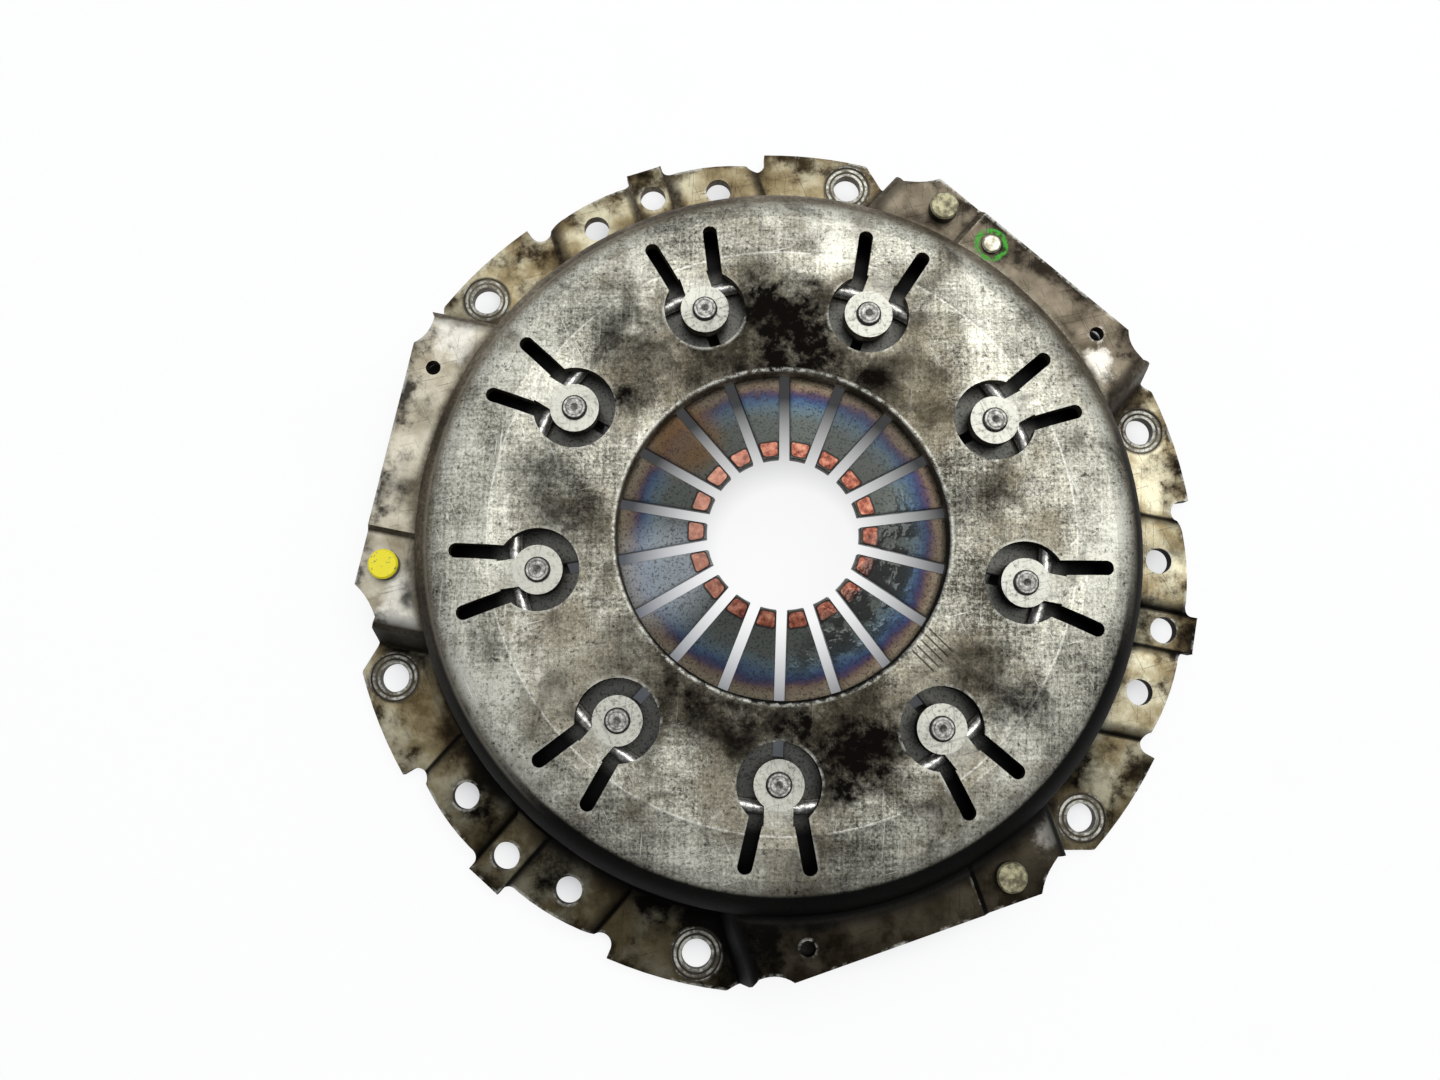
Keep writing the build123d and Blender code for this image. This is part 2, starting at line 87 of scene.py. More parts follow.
# %% [markdown]
# ## How the finishes are made
#
# Each finish is a tree of shader nodes. One function, `add`, makes a node of any kind, fills its
# inputs and hands back an output, so a finish reads as a list of steps. A `Mix` node lays one thing
# over another: its input 0 says how much, and the two things are inputs 6 and 7 if they are colours, or
# 2 and 3 if they are numbers. Positions are the object's own, in millimetres, so every size is a real
# one: a noise of scale 1 / 26 makes patches about 26 mm across.


# %%
# Colours and nodes
def srgb(code):
    """A hex colour such as '#8a7f6b' as linear RGBA."""
    parts = [int(code[i:i + 2], 16) / 255 for i in (1, 3, 5)]
    linear = [p / 12.92 if p <= 0.04045 else ((p + 0.055) / 1.055) ** 2.4 for p in parts]
    return (*linear, 1.0)


def add(tree, kind, inputs=(), out=0, stops=None, **settings):
    """Adds a node, changes its settings, fills or links its inputs and returns one output.

    Inputs are a list in order, or a dictionary by number or name. Stops are a ramp's colours.
    """
    made = tree.nodes.new("ShaderNode" + kind)
    for name, value in settings.items():
        setattr(made, name, value)
    pairs = inputs.items() if isinstance(inputs, dict) else enumerate(inputs)
    for place, value in pairs:
        socket = made.inputs[place]
        if isinstance(value, bpy.types.NodeSocket):
            tree.links.new(value, socket)
        else:
            socket.default_value = srgb(value) if isinstance(value, str) else value
    if stops:
        ramp = made.color_ramp.elements
        while len(ramp) < len(stops):
            ramp.new(0.5)
        for element, (place, colour) in zip(ramp, stops):
            element.position, element.color = place, srgb(colour)
    return made.outputs[out] if made.outputs else None


TIMES, PLUS, MINUS = ({"operation": name} for name in ("MULTIPLY", "ADD", "SUBTRACT"))
MOST = {"operation": "MAXIMUM"}
SOFT = {"interpolation_type": "SMOOTHSTEP"}     # a MapRange that eases in and out
TINT = {"data_type": "RGBA", "out": 2}          # a Mix of two colours
print("mid grey in linear light:", round(srgb("#808080")[0], 3))


# %%
# A finish begins and ends
def new_finish(name):
    """An empty material and its node tree."""
    material = bpy.data.materials.new(name)
    material.use_nodes = True
    material.node_tree.nodes.clear()
    return material, material.node_tree


def end_finish(tree, colour, metallic, roughness, height=None, depth_mm=0.05, **more):
    """The Principled shader that every finish ends in, with a bump from a height of 0 to 1."""
    inputs = {"Base Color": colour, "Metallic": metallic, "Roughness": roughness, **more}
    if height is not None:
        inputs["Normal"] = add(tree, "Bump", {"Height": height, "Distance": depth_mm / 1000})
    shader = add(tree, "BsdfPrincipled", inputs)
    add(tree, "OutputMaterial", {"Surface": shader})


def dress(material, *names):
    """Gives CAD nodes a material."""
    for name in names:
        nodes[name].data.materials.clear()
        nodes[name].data.materials.append(material)
    print(material.name, "on", len(names), "CAD pieces,", len(material.node_tree.nodes), "nodes")


# %%
# Where a point lies
def places(tree):
    """The point in millimetres, its x, y and z, its distance and direction from the axis, and how far
    its face looks up, from -1 to 1."""
    metres = tree.nodes.new("ShaderNodeTexCoord").outputs["Object"]
    mm = add(tree, "VectorMath", {0: metres, "Scale": 1000.0}, operation="SCALE")
    x, y, z = add(tree, "SeparateXYZ", [mm]).node.outputs
    flat = add(tree, "CombineXYZ", [x, y])
    r = add(tree, "VectorMath", [flat], out=1, operation="LENGTH")
    turn = add(tree, "Math", [y, x], operation="ARCTAN2")
    faces = add(tree, "SeparateXYZ", [add(tree, "TexCoord", out="Normal")], out=2)
    return SimpleNamespace(mm=mm, x=x, y=y, z=z, r=r, turn=turn, up=faces)


def nearest_of(tree, p, count, first):
    """How far across and out a point lies from the nearest of count equal axes round the plate. The
    first axis is at this many degrees."""
    half = pi / count
    off = add(tree, "Math", [p.turn, radians(first)], **MINUS)
    off = add(tree, "Math", [off, half, -half], operation="WRAP")
    across = add(tree, "Math", [p.r, add(tree, "Math", [off], operation="SINE")], **TIMES)
    out = add(tree, "Math", [p.r, add(tree, "Math", [off], operation="COSINE")], **TIMES)
    return across, out


def close_to(tree, across, out, radius):
    """Distance from the point that lies at radius on that axis."""
    off = add(tree, "Math", [out, radius], **MINUS)
    both = add(tree, "CombineXYZ", [across, off])
    return add(tree, "VectorMath", [both], out=1, operation="LENGTH")


cover_finish, t = new_finish("deep_drawn_sheet_steel")
p = places(t)
print("nodes that say where a point of the cover lies:", len(t.nodes))

# %% [markdown]
# ## Cover: deep drawn sheet steel
#
# The cover is pressed from mild steel sheet and left bare, so it is a metal with a satin grain, whose
# typical roughness is 0.3 to 0.5. Years beside a hot clutch have left a brown oil film on it, which
# takes its metallic down to 0.88, black patches near the tongues and a straw varnish on the flange.
# Edges that hands and tools touch are rubbed bright. Each of these is a layer: a colour, and a mask
# that says where it lies.
#
# The bare metal comes first. The real lapping marks are finer than a pixel, so they are drawn 0.9 mm
# wide here, and the deeper scratches 0.35 mm.


# %%
# Bare metal of the dome
LAP_LEANS, LAP_MM = (0.2, 1.75), (16, 0.9, 16)                      # directions in radians
SCRATCH_LEANS, SCRATCH_MM = (0.45, -0.95, 1.7), (15, 0.35, 15)


def lapped_steel(t, p):
    """Satin steel with fine crossing marks. Returns its colour and how high its marks stand."""
    cloud = add(t, "TexNoise", {"Vector": p.mm, "Scale": 1 / 26, "Detail": 8.0, "Roughness": 0.62})
    grain = add(t, "TexNoise", {"Vector": p.mm, "Scale": 1 / 0.8, "Detail": 2.0, "Roughness": 0.8})
    tone = add(t, "Mix", {0: 0.43, 2: cloud, 3: grain})
    for lean in LAP_LEANS:
        turned = add(t, "Mapping", {"Vector": p.mm, "Rotation": (0, 0, lean), "Scale": LAP_MM},
                     vector_type="TEXTURE")
        lap = add(t, "TexNoise", {"Vector": turned, "Scale": 1.0, "Detail": 3.0, "Roughness": 0.6})
        tone = add(t, "Math", [tone, add(t, "MapRange", [lap, 0.3, 0.7, -0.035, 0.035])], **PLUS)
    tone = add(t, "Math", [tone, add(t, "MapRange", [p.r, 55.0, 92.0, -0.035, 0.05])], **PLUS)
    # Painted light: the bare steel is a little lighter where x is low.
    tone = add(t, "Math", [tone, add(t, "MapRange", [p.x, -30.0, -80.0, 0.0, 0.025])], **PLUS)
    tone = add(t, "MapRange", [tone, 0.37, 0.65])
    steel = add(t, "ValToRGB", [tone], stops=[(0.0, "#36322a"), (0.3, "#77756a"), (0.55, "#a29f90"),
                                              (0.95, "#d8d6c6")])
    marks = grain
    for lean in SCRATCH_LEANS:
        turned = add(t, "Mapping", {"Vector": p.mm, "Rotation": (0, 0, lean), "Scale": SCRATCH_MM},
                     vector_type="TEXTURE")
        lines = add(t, "TexNoise", {"Vector": turned, "Scale": 1.0, "Detail": 1.0})
        line = add(t, "MapRange", [lines, 0.7, 0.76], **SOFT)
        pale = add(t, "Math", [line, 0.6], **TIMES)
        steel = add(t, "Mix", {0: pale, 6: steel, 7: "#e8e7dc"}, **TINT)
        marks = add(t, "Math", [marks, line], **PLUS)
    return steel, marks


steel, marks = lapped_steel(t, p)
print("with bare steel:", len(t.nodes), "nodes")

# %% [markdown]
# ### Dried oil and painted shade
#
# Leaked oil dries black in patches, most of them between the tongues and along the low side of the
# flange. Along that side, where y is low, the patches also stand in for shade: painted shade. Each patch
# is a soft disc whose limit noise pushes in and out, as oil creeps along the grain.

# %%
# Patches of dried oil, and on the flange where y is low painted shade too: x, y and radius in
# millimetres, and how black each one is
ON_DOME = [
    (-12, 62, 11, 1.0), (-23, 59, 7, 1.0), (-3, 55, 9, 0.95), (-22, 71, 6, 0.65), (-33, 51, 8, 0.7),
    (8, 50, 7, 0.6), (-57, 47, 8, 0.65), (-46, 40, 8, 0.6), (-53, 31, 5, 0.85), (-67, 2, 9, 0.6),
    (-60, -7, 9, 0.6), (-20, -51, 9, 0.75), (-3, -54, 11, 0.7), (14, -54, 10, 0.8), (28, -58, 12, 0.95),
    (39, -52, 7, 0.95), (61, -27, 9, 0.65), (71, -35, 8, 0.7), (52, 22, 6, 0.5), (-34, -40, 8, 0.5),
    (-12, 50, 8, 1.0), (1, 51, 8, 0.95), (14, 49, 7, 0.85), (-24, 44, 7, 0.7), (-33, 38, 6, 0.6),
    (-12, -50, 8, 0.7), (3, -51, 8, 0.75), (18, -48, 8, 0.6), (30, -42, 6, 0.5), (-24, -45, 7, 0.5),
]
ON_FLANGE_WITH_SHADE = [
    (8, -110, 17, 1.0), (-14, -106, 8, 0.9), (30, -106, 9, 0.7), (-70, -92, 7, 0.85), (-42, -106, 6, 0.8),
    (112, 1, 5, 0.8), (124, 6, 3, 0.9), (-105, -54, 5, 0.9), (100, 63, 6, 0.95), (-66, 111, 5, 0.7),
    (102, -46, 6, 0.9), (-104, 51, 4, 0.8), (120, 26, 4, 0.6), (-30, 124, 4, 0.7), (94, -82, 7, 0.8),
]
print("oil patches:", len(ON_DOME), "on the dome,", len(ON_FLANGE_WITH_SHADE), "on the flange")


# %%
# How thick the oil is, or how dark the painted shade
FRAY_MM = 26.0              # noise pushes a patch's limit about by up to half of this


def frayed(t, p):
    """The flat place of a point, pushed about by noise so that patches get ragged edges."""
    slow = add(t, "TexNoise", {"Vector": p.mm, "Scale": 1 / 13, "Detail": 6.0, "Roughness": 0.72}, out=1)
    fray = add(t, "VectorMath", [slow, (0.5, 0.5, 0.5)], **MINUS)
    fray = add(t, "VectorMath", {0: fray, "Scale": FRAY_MM}, operation="SCALE")
    pushed = add(t, "VectorMath", [p.mm, fray], **PLUS)
    return add(t, "VectorMath", [pushed, (1, 1, 0)], **TIMES)


def dark_patches(t, p, here, patches):
    """How thick the dried oil is, from 0 to 1; on the flange where y is low this is painted shade too."""
    thick = 0.0
    for x, y, radius, black in patches:
        away = add(t, "VectorMath", [here, (x, y, 0)], out=1, operation="DISTANCE")
        patch = add(t, "MapRange", [away, radius + 7.0, radius - 6.0, 0.0, black], **SOFT)
        thick = add(t, "Math", [thick, patch], **MOST)
    mottle = add(t, "TexNoise", {"Vector": p.mm, "Scale": 1 / 5, "Detail": 7.0, "Roughness": 0.7})
    mottle = add(t, "MapRange", [mottle, 0.34, 0.6, 0.55, 1.35])
    return add(t, "Math", [thick, mottle], use_clamp=True, **TIMES)


here = frayed(t, p)
dome_oil, flange_oil_and_shade = dark_patches(t, p, here, ON_DOME), dark_patches(t, p, here, ON_FLANGE_WITH_SHADE)
print("with dried oil:", len(t.nodes), "nodes")

# %% [markdown]
# ### Dome: film and smears
#
# A thin film of oil goes brown with heat. It is thickest round the opening and on two opposite sides, and
# darker smears gather in the same places. Both are thinner where x is low, which paints that side
# lighter: painted light. So one value shifts both noises.


# %%
# Film and smears
def gathering_and_lit_side(t, p):
    """How much more or less dirt than usual gathers at a place on the dome, with less where x is low,
    which is painted light.
    """
    inward = add(t, "MapRange", [p.r, 88.0, 50.0, -0.085, 0.05], **SOFT)
    beside = add(t, "Math", [p.y], operation="ABSOLUTE")
    inward = add(t, "Math", [inward, add(t, "MapRange", [beside, 15.0, 48.0, -0.05, 0.045])], **PLUS)
    # Painted light: less film and smear where x is low.
    return add(t, "Math", [inward, add(t, "MapRange", [p.x, -30.0, -70.0, 0.0, -0.035])], **PLUS)


def brown_film(t, p, steel, marks, gathered_and_lit_side):
    """The steel under its film, which also lies along the corner of the dome."""
    broad = add(t, "TexNoise", {"Vector": p.mm, "Scale": 1 / 34, "Detail": 7.0, "Roughness": 0.66})
    broad = add(t, "Math", [broad, gathered_and_lit_side], **PLUS)
    film = add(t, "MapRange", [broad, 0.42, 0.58, 0.0, 0.65], **SOFT)
    by_corner = add(t, "MapRange", [p.r, 96.5, 100.5, 0.0, 0.8], **SOFT)
    film = add(t, "Math", [film, by_corner], **MOST)
    brown = add(t, "Mix", {0: marks, 6: "#3f3829", 7: "#877d67"}, **TINT)
    return add(t, "Mix", {0: film, 6: steel, 7: brown}, **TINT)


def smears(t, p, gathered_and_lit_side):
    """Where oil was wiped about, from 0 to 1."""
    smear = add(t, "TexNoise", {"Vector": p.mm, "Scale": 1 / 17, "Detail": 6.0, "Roughness": 0.58,
                                "Distortion": 0.9})
    return add(t, "MapRange", [add(t, "Math", [smear, gathered_and_lit_side], **PLUS), 0.45, 0.7, 0.0, 0.8], **SOFT)


gathered_and_lit_side = gathering_and_lit_side(t, p)
dome = brown_film(t, p, steel, marks, gathered_and_lit_side)
smear = smears(t, p, gathered_and_lit_side)
print("with film and smears:", len(t.nodes), "nodes")

# %% [markdown]
# ### Dome: pits, worn lines and a painted highlight
#
# Rust has pitted the crown. The crease where the flat crown turns into the cone is worn bright where no
# smear covers it. A lever has cut a few parallel gouges near the rim of the opening, and a painted
# highlight runs along the corner of the dome where x is low.


# %%
# Pits and worn lines, each from 0 to 1
GOUGES_AT = (45, -23, 0)
ALONG_GOUGES, BESIDE_GOUGES = (0.833, -0.553, 0), (0.553, 0.833, 0)
GOUGE_STEP = 1.9            # millimetres from one gouge to the next


def pitting(t, p):
    """Pits of about 1.7 mm."""
    pits = add(t, "TexNoise", {"Vector": p.mm, "Scale": 1 / 1.7, "Detail": 5.0, "Roughness": 0.8})
    return add(t, "MapRange", [pits, 0.55, 0.66, 0.0, 0.85], **SOFT)


def worn_crease(t, p, marks, smear):
    """The pale crease between crown and cone."""
    line = add(t, "Math", [add(t, "Math", [p.r, BREAK_R], **MINUS)], operation="ABSOLUTE")
    line = add(t, "MapRange", [line, 0.45, 0.1, 0.0, 0.65], **SOFT)
    line = add(t, "Math", [line, add(t, "MapRange", [smear, 0.35, 0.1], **SOFT)], **TIMES)
    return add(t, "Math", [line, add(t, "MapRange", [marks, 0.35, 0.6, 0.3, 1.0])], **TIMES)


def gouges(t, p):
    """A few parallel cuts beside the opening."""
    from_there = add(t, "VectorMath", [p.mm, GOUGES_AT], **MINUS)
    along = add(t, "VectorMath", [from_there, ALONG_GOUGES], out=1, operation="DOT_PRODUCT")
    beside = add(t, "VectorMath", [from_there, BESIDE_GOUGES], out=1, operation="DOT_PRODUCT")
    ends = add(t, "MapRange", [add(t, "Math", [along], operation="ABSOLUTE"), 6.5, 5.0], **SOFT)
    sides = add(t, "MapRange", [add(t, "Math", [beside], operation="ABSOLUTE"), 5.1, 4.9], **SOFT)
    cut = add(t, "Math", [beside, GOUGE_STEP / 2, -GOUGE_STEP / 2], operation="WRAP")
    cut = add(t, "Math", [cut], operation="ABSOLUTE")
    cut = add(t, "MapRange", [cut, 0.35, 0.12, 0.0, 0.85], **SOFT)
    return add(t, "Math", [add(t, "Math", [ends, sides], **TIMES), cut], **TIMES)


def painted_corner_highlight(t, p):
    """A painted highlight along the corner of the dome, where x is low."""
    shine = add(t, "Math", [add(t, "Math", [p.r, CORNER_R], **MINUS)], operation="ABSOLUTE")
    shine = add(t, "MapRange", [shine, 0.8, 0.2], **SOFT)
    return add(t, "Math", [shine, add(t, "MapRange", [p.x, -35.0, -70.0, 0.0, 0.7], **SOFT)], **TIMES)


# The pale layer along the corner is a painted highlight.
dome_layers = [(smear, "#29251c"), (pitting(t, p), "#1c1915"),
               (worn_crease(t, p, marks, smear), "#d6d5ca"), (gouges(t, p), "#1d1a17"),
               (painted_corner_highlight(t, p), "#cfc6b4"), (dome_oil, "#0d0a08")]
for share, layer in dome_layers:
    dome = add(t, "Mix", {0: share, 6: dome, 7: layer}, **TINT)
print("layers on the dome's film:", len(dome_layers))

# %% [markdown]
# ### Flange: varnish, grime and painted light
#
# The hot flywheel bakes a straw coloured varnish on the flange. Brown and black grime creeps in from its
# outer edge and out of its bends, which ambient occlusion finds: it says how much of the space near a
# point is open. The three high strap lands are greyer, with black rims, painted paler where x is low as
# if lit, and with a few painted highlights. Where y is low the flange is painted darker: painted shade.


# %%
# Varnish and the stains on it
RAISED_Z = (17.0, 19.0)     # the strap lands lie above this height
SHADED_WAY = (0.198, -0.98, 0)    # the flange is painted darker this way: painted shade
# Painted highlights on the strap lands follow, each as x, y and radius.
LAND_HIGHLIGHTS = ((-102, -41, 12), (82, 70, 8), (90, -66, 8), (-104, 40, 9))     # x, y and radius


def hollows(t, p):
    """How open a place is: 1 on a free face, less in a corner, with a ragged limit."""
    hollow = add(t, "AmbientOcclusion", {"Distance": 0.01}, out=1, only_local=True, samples=8)
    ragged = add(t, "TexNoise", {"Vector": p.mm, "Scale": 1 / 5, "Detail": 6.0, "Roughness": 0.75})
    return add(t, "Math", [hollow, add(t, "MapRange", [ragged, 0.3, 0.7, -0.12, 0.12])], **PLUS)


def strap_land_colour(t, p, here, varnish):
    """Grey brown lands, painted paler where x is low as if lit, with a few painted highlights."""
    # Painted light: the lands are paler where x is low.
    lit_side = add(t, "MapRange", [p.x, -70.0, -100.0], **SOFT)
    dull = add(t, "Mix", {0: varnish, 6: "#3b3327", 7: "#7f7564"}, **TINT)
    pale = add(t, "Mix", {0: varnish, 6: "#8a8069", 7: "#cfc8b4"}, **TINT)
    land = add(t, "Mix", {0: lit_side, 6: dull, 7: pale}, **TINT)
    # Painted highlights, laid on the lands as pale spots.
    for x, y, radius in LAND_HIGHLIGHTS:
        away = add(t, "VectorMath", [here, (x, y, 0)], out=1, operation="DISTANCE")
        land_highlight = add(t, "MapRange", [away, radius, 0.4 * radius, 0.0, 0.8], **SOFT)
        land = add(t, "Mix", {0: land_highlight, 6: land, 7: "#dcd8cb"}, **TINT)
    return land


def black_rim(t, p, stains, edge):
    """The black outer rim of the strap lands, from 0 to 1."""
    across, out = nearest_of(t, p, STRAPS, 60)
    rim = add(t, "Math", [stains, add(t, "MapRange", [out, 108.0, 119.0, -0.05, 0.12])], **PLUS)
    rim = add(t, "Math", [rim, edge], **MINUS)
    return add(t, "MapRange", [rim, 0.48, 0.66, 0.0, 0.92], **SOFT)


hollow = hollows(t, p)
print("with hollows:", len(t.nodes), "nodes")


# %%
# Flange colour
def flange_colour(t, p, here, oil, hollow):
    """Varnish, then stains, the strap lands, painted shade where y is low, and dark patches of oil and
    painted shade.
    """
    varnish = add(t, "TexNoise", {"Vector": p.mm, "Scale": 1 / 13, "Detail": 4.0, "Roughness": 0.55})
    varnish = add(t, "MapRange", [varnish, 0.32, 0.66])
    straw = add(t, "ValToRGB", [varnish], stops=[(0.0, "#66583c"), (0.45, "#a09270"), (0.85, "#cfc8aa")])
    stains = add(t, "TexNoise", {"Vector": p.mm, "Scale": 1 / 10, "Detail": 7.0, "Roughness": 0.66})
    edge = add(t, "MapRange", [p.r, 120.0, 130.0, 0.0, 0.16])
    bend = add(t, "MapRange", [hollow, 1.0, 0.6, 0.0, 0.2])
    stains = add(t, "Math", [stains, add(t, "Math", [edge, bend], **PLUS)], **PLUS)
    brown = add(t, "MapRange", [stains, 0.46, 0.68, 0.0, 0.88], **SOFT)
    black = add(t, "MapRange", [stains, 0.57, 0.73, 0.0, 0.97], **SOFT)
    far = add(t, "MapRange", [p.y, 50.0, 115.0, 0.0, 0.42], **SOFT)
    raised = add(t, "MapRange", [p.z, *RAISED_Z], **SOFT)
    lands = strap_land_colour(t, p, here, varnish)
    lands = add(t, "Mix", {0: black_rim(t, p, stains, edge), 6: lands, 7: "#15110d"}, **TINT)
    # Painted shade: the flange is painted darker towards the side where y is low.
    down = add(t, "VectorMath", [p.mm, SHADED_WAY], out=1, operation="DOT_PRODUCT")
    wet = add(t, "MapRange", [down, 20.0, 105.0, 0.0, 0.8], **SOFT)
    colour = straw
    # The last layer is dried oil, and on the side where y is low painted shade.
    for share, layer in ((brown, "#463824"), (black, "#120e09"), (far, "#3a2f1d"), (raised, lands),
                         (wet, "#1b170d"), (oil, "#0c0a07")):
        colour = add(t, "Mix", {0: share, 6: colour, 7: layer}, **TINT)
    return colour


flange = flange_colour(t, p, here, flange_oil_and_shade, hollow)
on_flange = add(t, "MapRange", [p.r, 104.4, 107.0], **SOFT)
colour = add(t, "Mix", {0: on_flange, 6: dome, 7: flange}, **TINT)
print("dome and flange together:", len(t.nodes), "nodes")

# %% [markdown]
# ### Rubbed and pressed bright, and painted edge highlights
#
# A bolt head leaves a dark seat with bright rings where its face turned. The riveting tool pressed the
# ends of the tongues flat, and the rim of the opening and other sharp edges are rubbed. The upper sharp
# edges are also painted bright as highlights. Ambient occlusion finds an edge too, when it looks into the
# metal.


# %%
# Bolt seats and tongue ends
DOME_Z = (33.0, 35.0)       # only faces above this height belong to the top of the dome
SEAT_RINGS = 4.3            # radians of wave in a millimetre, which makes a ring every 1.5 mm


def bolt_seats(t, p):
    """Where the bolt heads sat, and the bright tool rings there, each from 0 to 1."""
    across, out = nearest_of(t, p, BOLTS, 30)
    away = close_to(t, across, out, BOLT_CIRCLE_R)
    seat = add(t, "MapRange", [away, 8.0, 7.2], **SOFT)
    wave = add(t, "Math", [add(t, "Math", [away, SEAT_RINGS], **TIMES)], operation="SINE")
    worn = add(t, "TexNoise", {"Vector": p.mm, "Scale": 1 / 5, "Detail": 5.0, "Roughness": 0.7})
    rings = add(t, "Math", [add(t, "MapRange", [wave, -0.7, 0.5], **SOFT),
                            add(t, "MapRange", [worn, 0.4, 0.6, 0.12, 1.1], **SOFT)], **TIMES)
    return seat, add(t, "Math", [add(t, "MapRange", [away, 7.4, 7.0], **SOFT), rings], **TIMES)


def bright_dome(t, p):
    """Tongue ends and the rim of the opening, from 0 to 1."""
    across, out = nearest_of(t, p, TONGUES, 0)
    away = close_to(t, across, out, TONGUE_R)
    end = add(t, "MapRange", [away, 7.2, 6.8, 0.0, 0.9], **SOFT)
    neck = add(t, "MapRange", [add(t, "Math", [across], operation="ABSOLUTE"), 4.6, 3.4], **SOFT)
    neck = add(t, "Math", [neck, add(t, "MapRange", [out, 84.0, 70.0, 0.0, 0.7], **SOFT)], **TIMES)
    neck = add(t, "Math", [neck, add(t, "Math", [out, 62.0], operation="GREATER_THAN")], **TIMES)
    chipped = add(t, "TexNoise", {"Vector": p.mm, "Scale": 1 / 2.5, "Detail": 6.0, "Roughness": 0.8})
    rim = add(t, "MapRange", [p.r, RUBBED_RIM_R + 1.0, RUBBED_RIM_R], **SOFT)
    rim = add(t, "Math", [rim, add(t, "MapRange", [chipped, 0.45, 0.56], **SOFT)], **TIMES)
    all_three = add(t, "Math", [add(t, "Math", [end, neck], **MOST), rim], **MOST)
    return add(t, "Math", [all_three, add(t, "MapRange", [p.z, *DOME_Z], **SOFT)], **TIMES)


seat, rings = bolt_seats(t, p)
dark_seat = add(t, "Math", [seat, 0.85], **TIMES)
colour = add(t, "Mix", {0: dark_seat, 6: colour, 7: "#37322a"}, **TINT)
print("with bolt seats:", len(t.nodes), "nodes")


# %%
# Rubbed edges and painted edge highlights, laid on with the rest of the bright places
def edge_wear_and_highlights(t, p):
    """Sharp upper edges that are rubbed bright here and there and painted bright as highlights, from 0 to
    1.
    """
    edge = add(t, "AmbientOcclusion", {"Distance": 0.001}, out=1, inside=True, only_local=True,
               samples=6)
    edge = add(t, "MapRange", [edge, 0.95, 0.75, 0.0, 0.8], **SOFT)
    edge = add(t, "Math", [edge, add(t, "MapRange", [p.up, 0.2, 0.7], **SOFT)], **TIMES)
    some = add(t, "TexNoise", {"Vector": p.mm, "Scale": 1 / 8, "Detail": 4.0, "Roughness": 0.7})
    return add(t, "Math", [edge, add(t, "MapRange", [some, 0.48, 0.6, 0.0, 0.85], **SOFT)], **TIMES)


bright = add(t, "Math", [bright_dome(t, p), edge_wear_and_highlights(t, p)], **MOST)
bright = add(t, "Math", [bright, rings], **MOST)
fleck = add(t, "TexNoise", {"Vector": p.mm, "Scale": 1 / 1.2, "Detail": 5.0, "Roughness": 0.8})
fleck = add(t, "MapRange", [fleck, 0.38, 0.5, 0.3, 1.0], **SOFT)
bright = add(t, "Math", [bright, fleck], **TIMES)
# The bright layer holds painted edge highlights as well as rubbed wear.
colour = add(t, "Mix", {0: bright, 6: colour, 7: "#b3b2a7"}, **TINT)
print("with bright places:", len(t.nodes), "nodes")


# %%
# Green marking paint round the balance rivet
PAINT_RING_R = 4.4


def paint_ring(t, p):
    """A ring of marking paint, from 0 to 1, brushed thin in places."""
    low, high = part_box("balance_rivet")
    x, y = ((low[i] + high[i]) / 2 * 1000 for i in (0, 1))
    away = add(t, "VectorMath", [p.mm, (x, y, LAND_TOP_Z)], out=1, operation="DISTANCE")
    ring = add(t, "Math", [add(t, "Math", [away, PAINT_RING_R], **MINUS)], operation="ABSOLUTE")
    ring = add(t, "MapRange", [ring, 1.0, 0.5], **SOFT)
    thin = add(t, "TexNoise", {"Vector": p.mm, "Scale": 1 / 1.8, "Detail": 3.0})
    return add(t, "Math", [ring, add(t, "MapRange", [thin, 0.36, 0.52, 0.1, 0.9], **SOFT)], **TIMES)


colour = add(t, "Mix", {0: paint_ring(t, p), 6: colour, 7: "#377f2d"}, **TINT)
print("with the paint ring:", len(t.nodes), "nodes")

# %% [markdown]
# ### Grime and painted shade in the hollows and on the wall
#
# The steep drawn wall has a baked brown film on its dry side. In the hollows, on the steep faces and in a
# band round the corner on the side where the oil ran down, the cover is painted dark: brown film on the
# dry side, and black on the other, which is soot and painted shade together. A black metal still mirrors
# the sky at a low angle, and soot doesn't, so the soot isn't metallic and has next to no gloss: that is
# the low specular level at the end. Bare metal doesn't need it, as its reflection comes from its colour.


# %%
# Soot, painted shade and film
OIL_AND_SHADE_SIDE = (0.45, -0.89, 0)     # the oil ran down the wall on this side, and it is painted dark as shade there too


def grime_and_shade(t, p, hollow, oil_and_shade_side):
    """Dark dirt and painted shade on steep faces, in hollows and where oil has run down one side, from 0
    to 1.
    """
    deep = add(t, "MapRange", [hollow, 0.84, 0.6, 0.0, 0.98], **SOFT)
    steep = add(t, "MapRange", [p.up, 0.96, 0.7, 0.0, 0.98], **SOFT)
    run = add(t, "Math", [add(t, "MapRange", [p.r, 96.8, 98.6], **SOFT),
                          add(t, "MapRange", [p.r, 110.0, 105.0], **SOFT)], **TIMES)
    run = add(t, "Math", [run, add(t, "MapRange", [oil_and_shade_side, 10.0, 60.0, 0.0, 0.99], **SOFT)], **TIMES)
    return add(t, "Math", [add(t, "Math", [deep, steep], **MOST), run], **MOST)


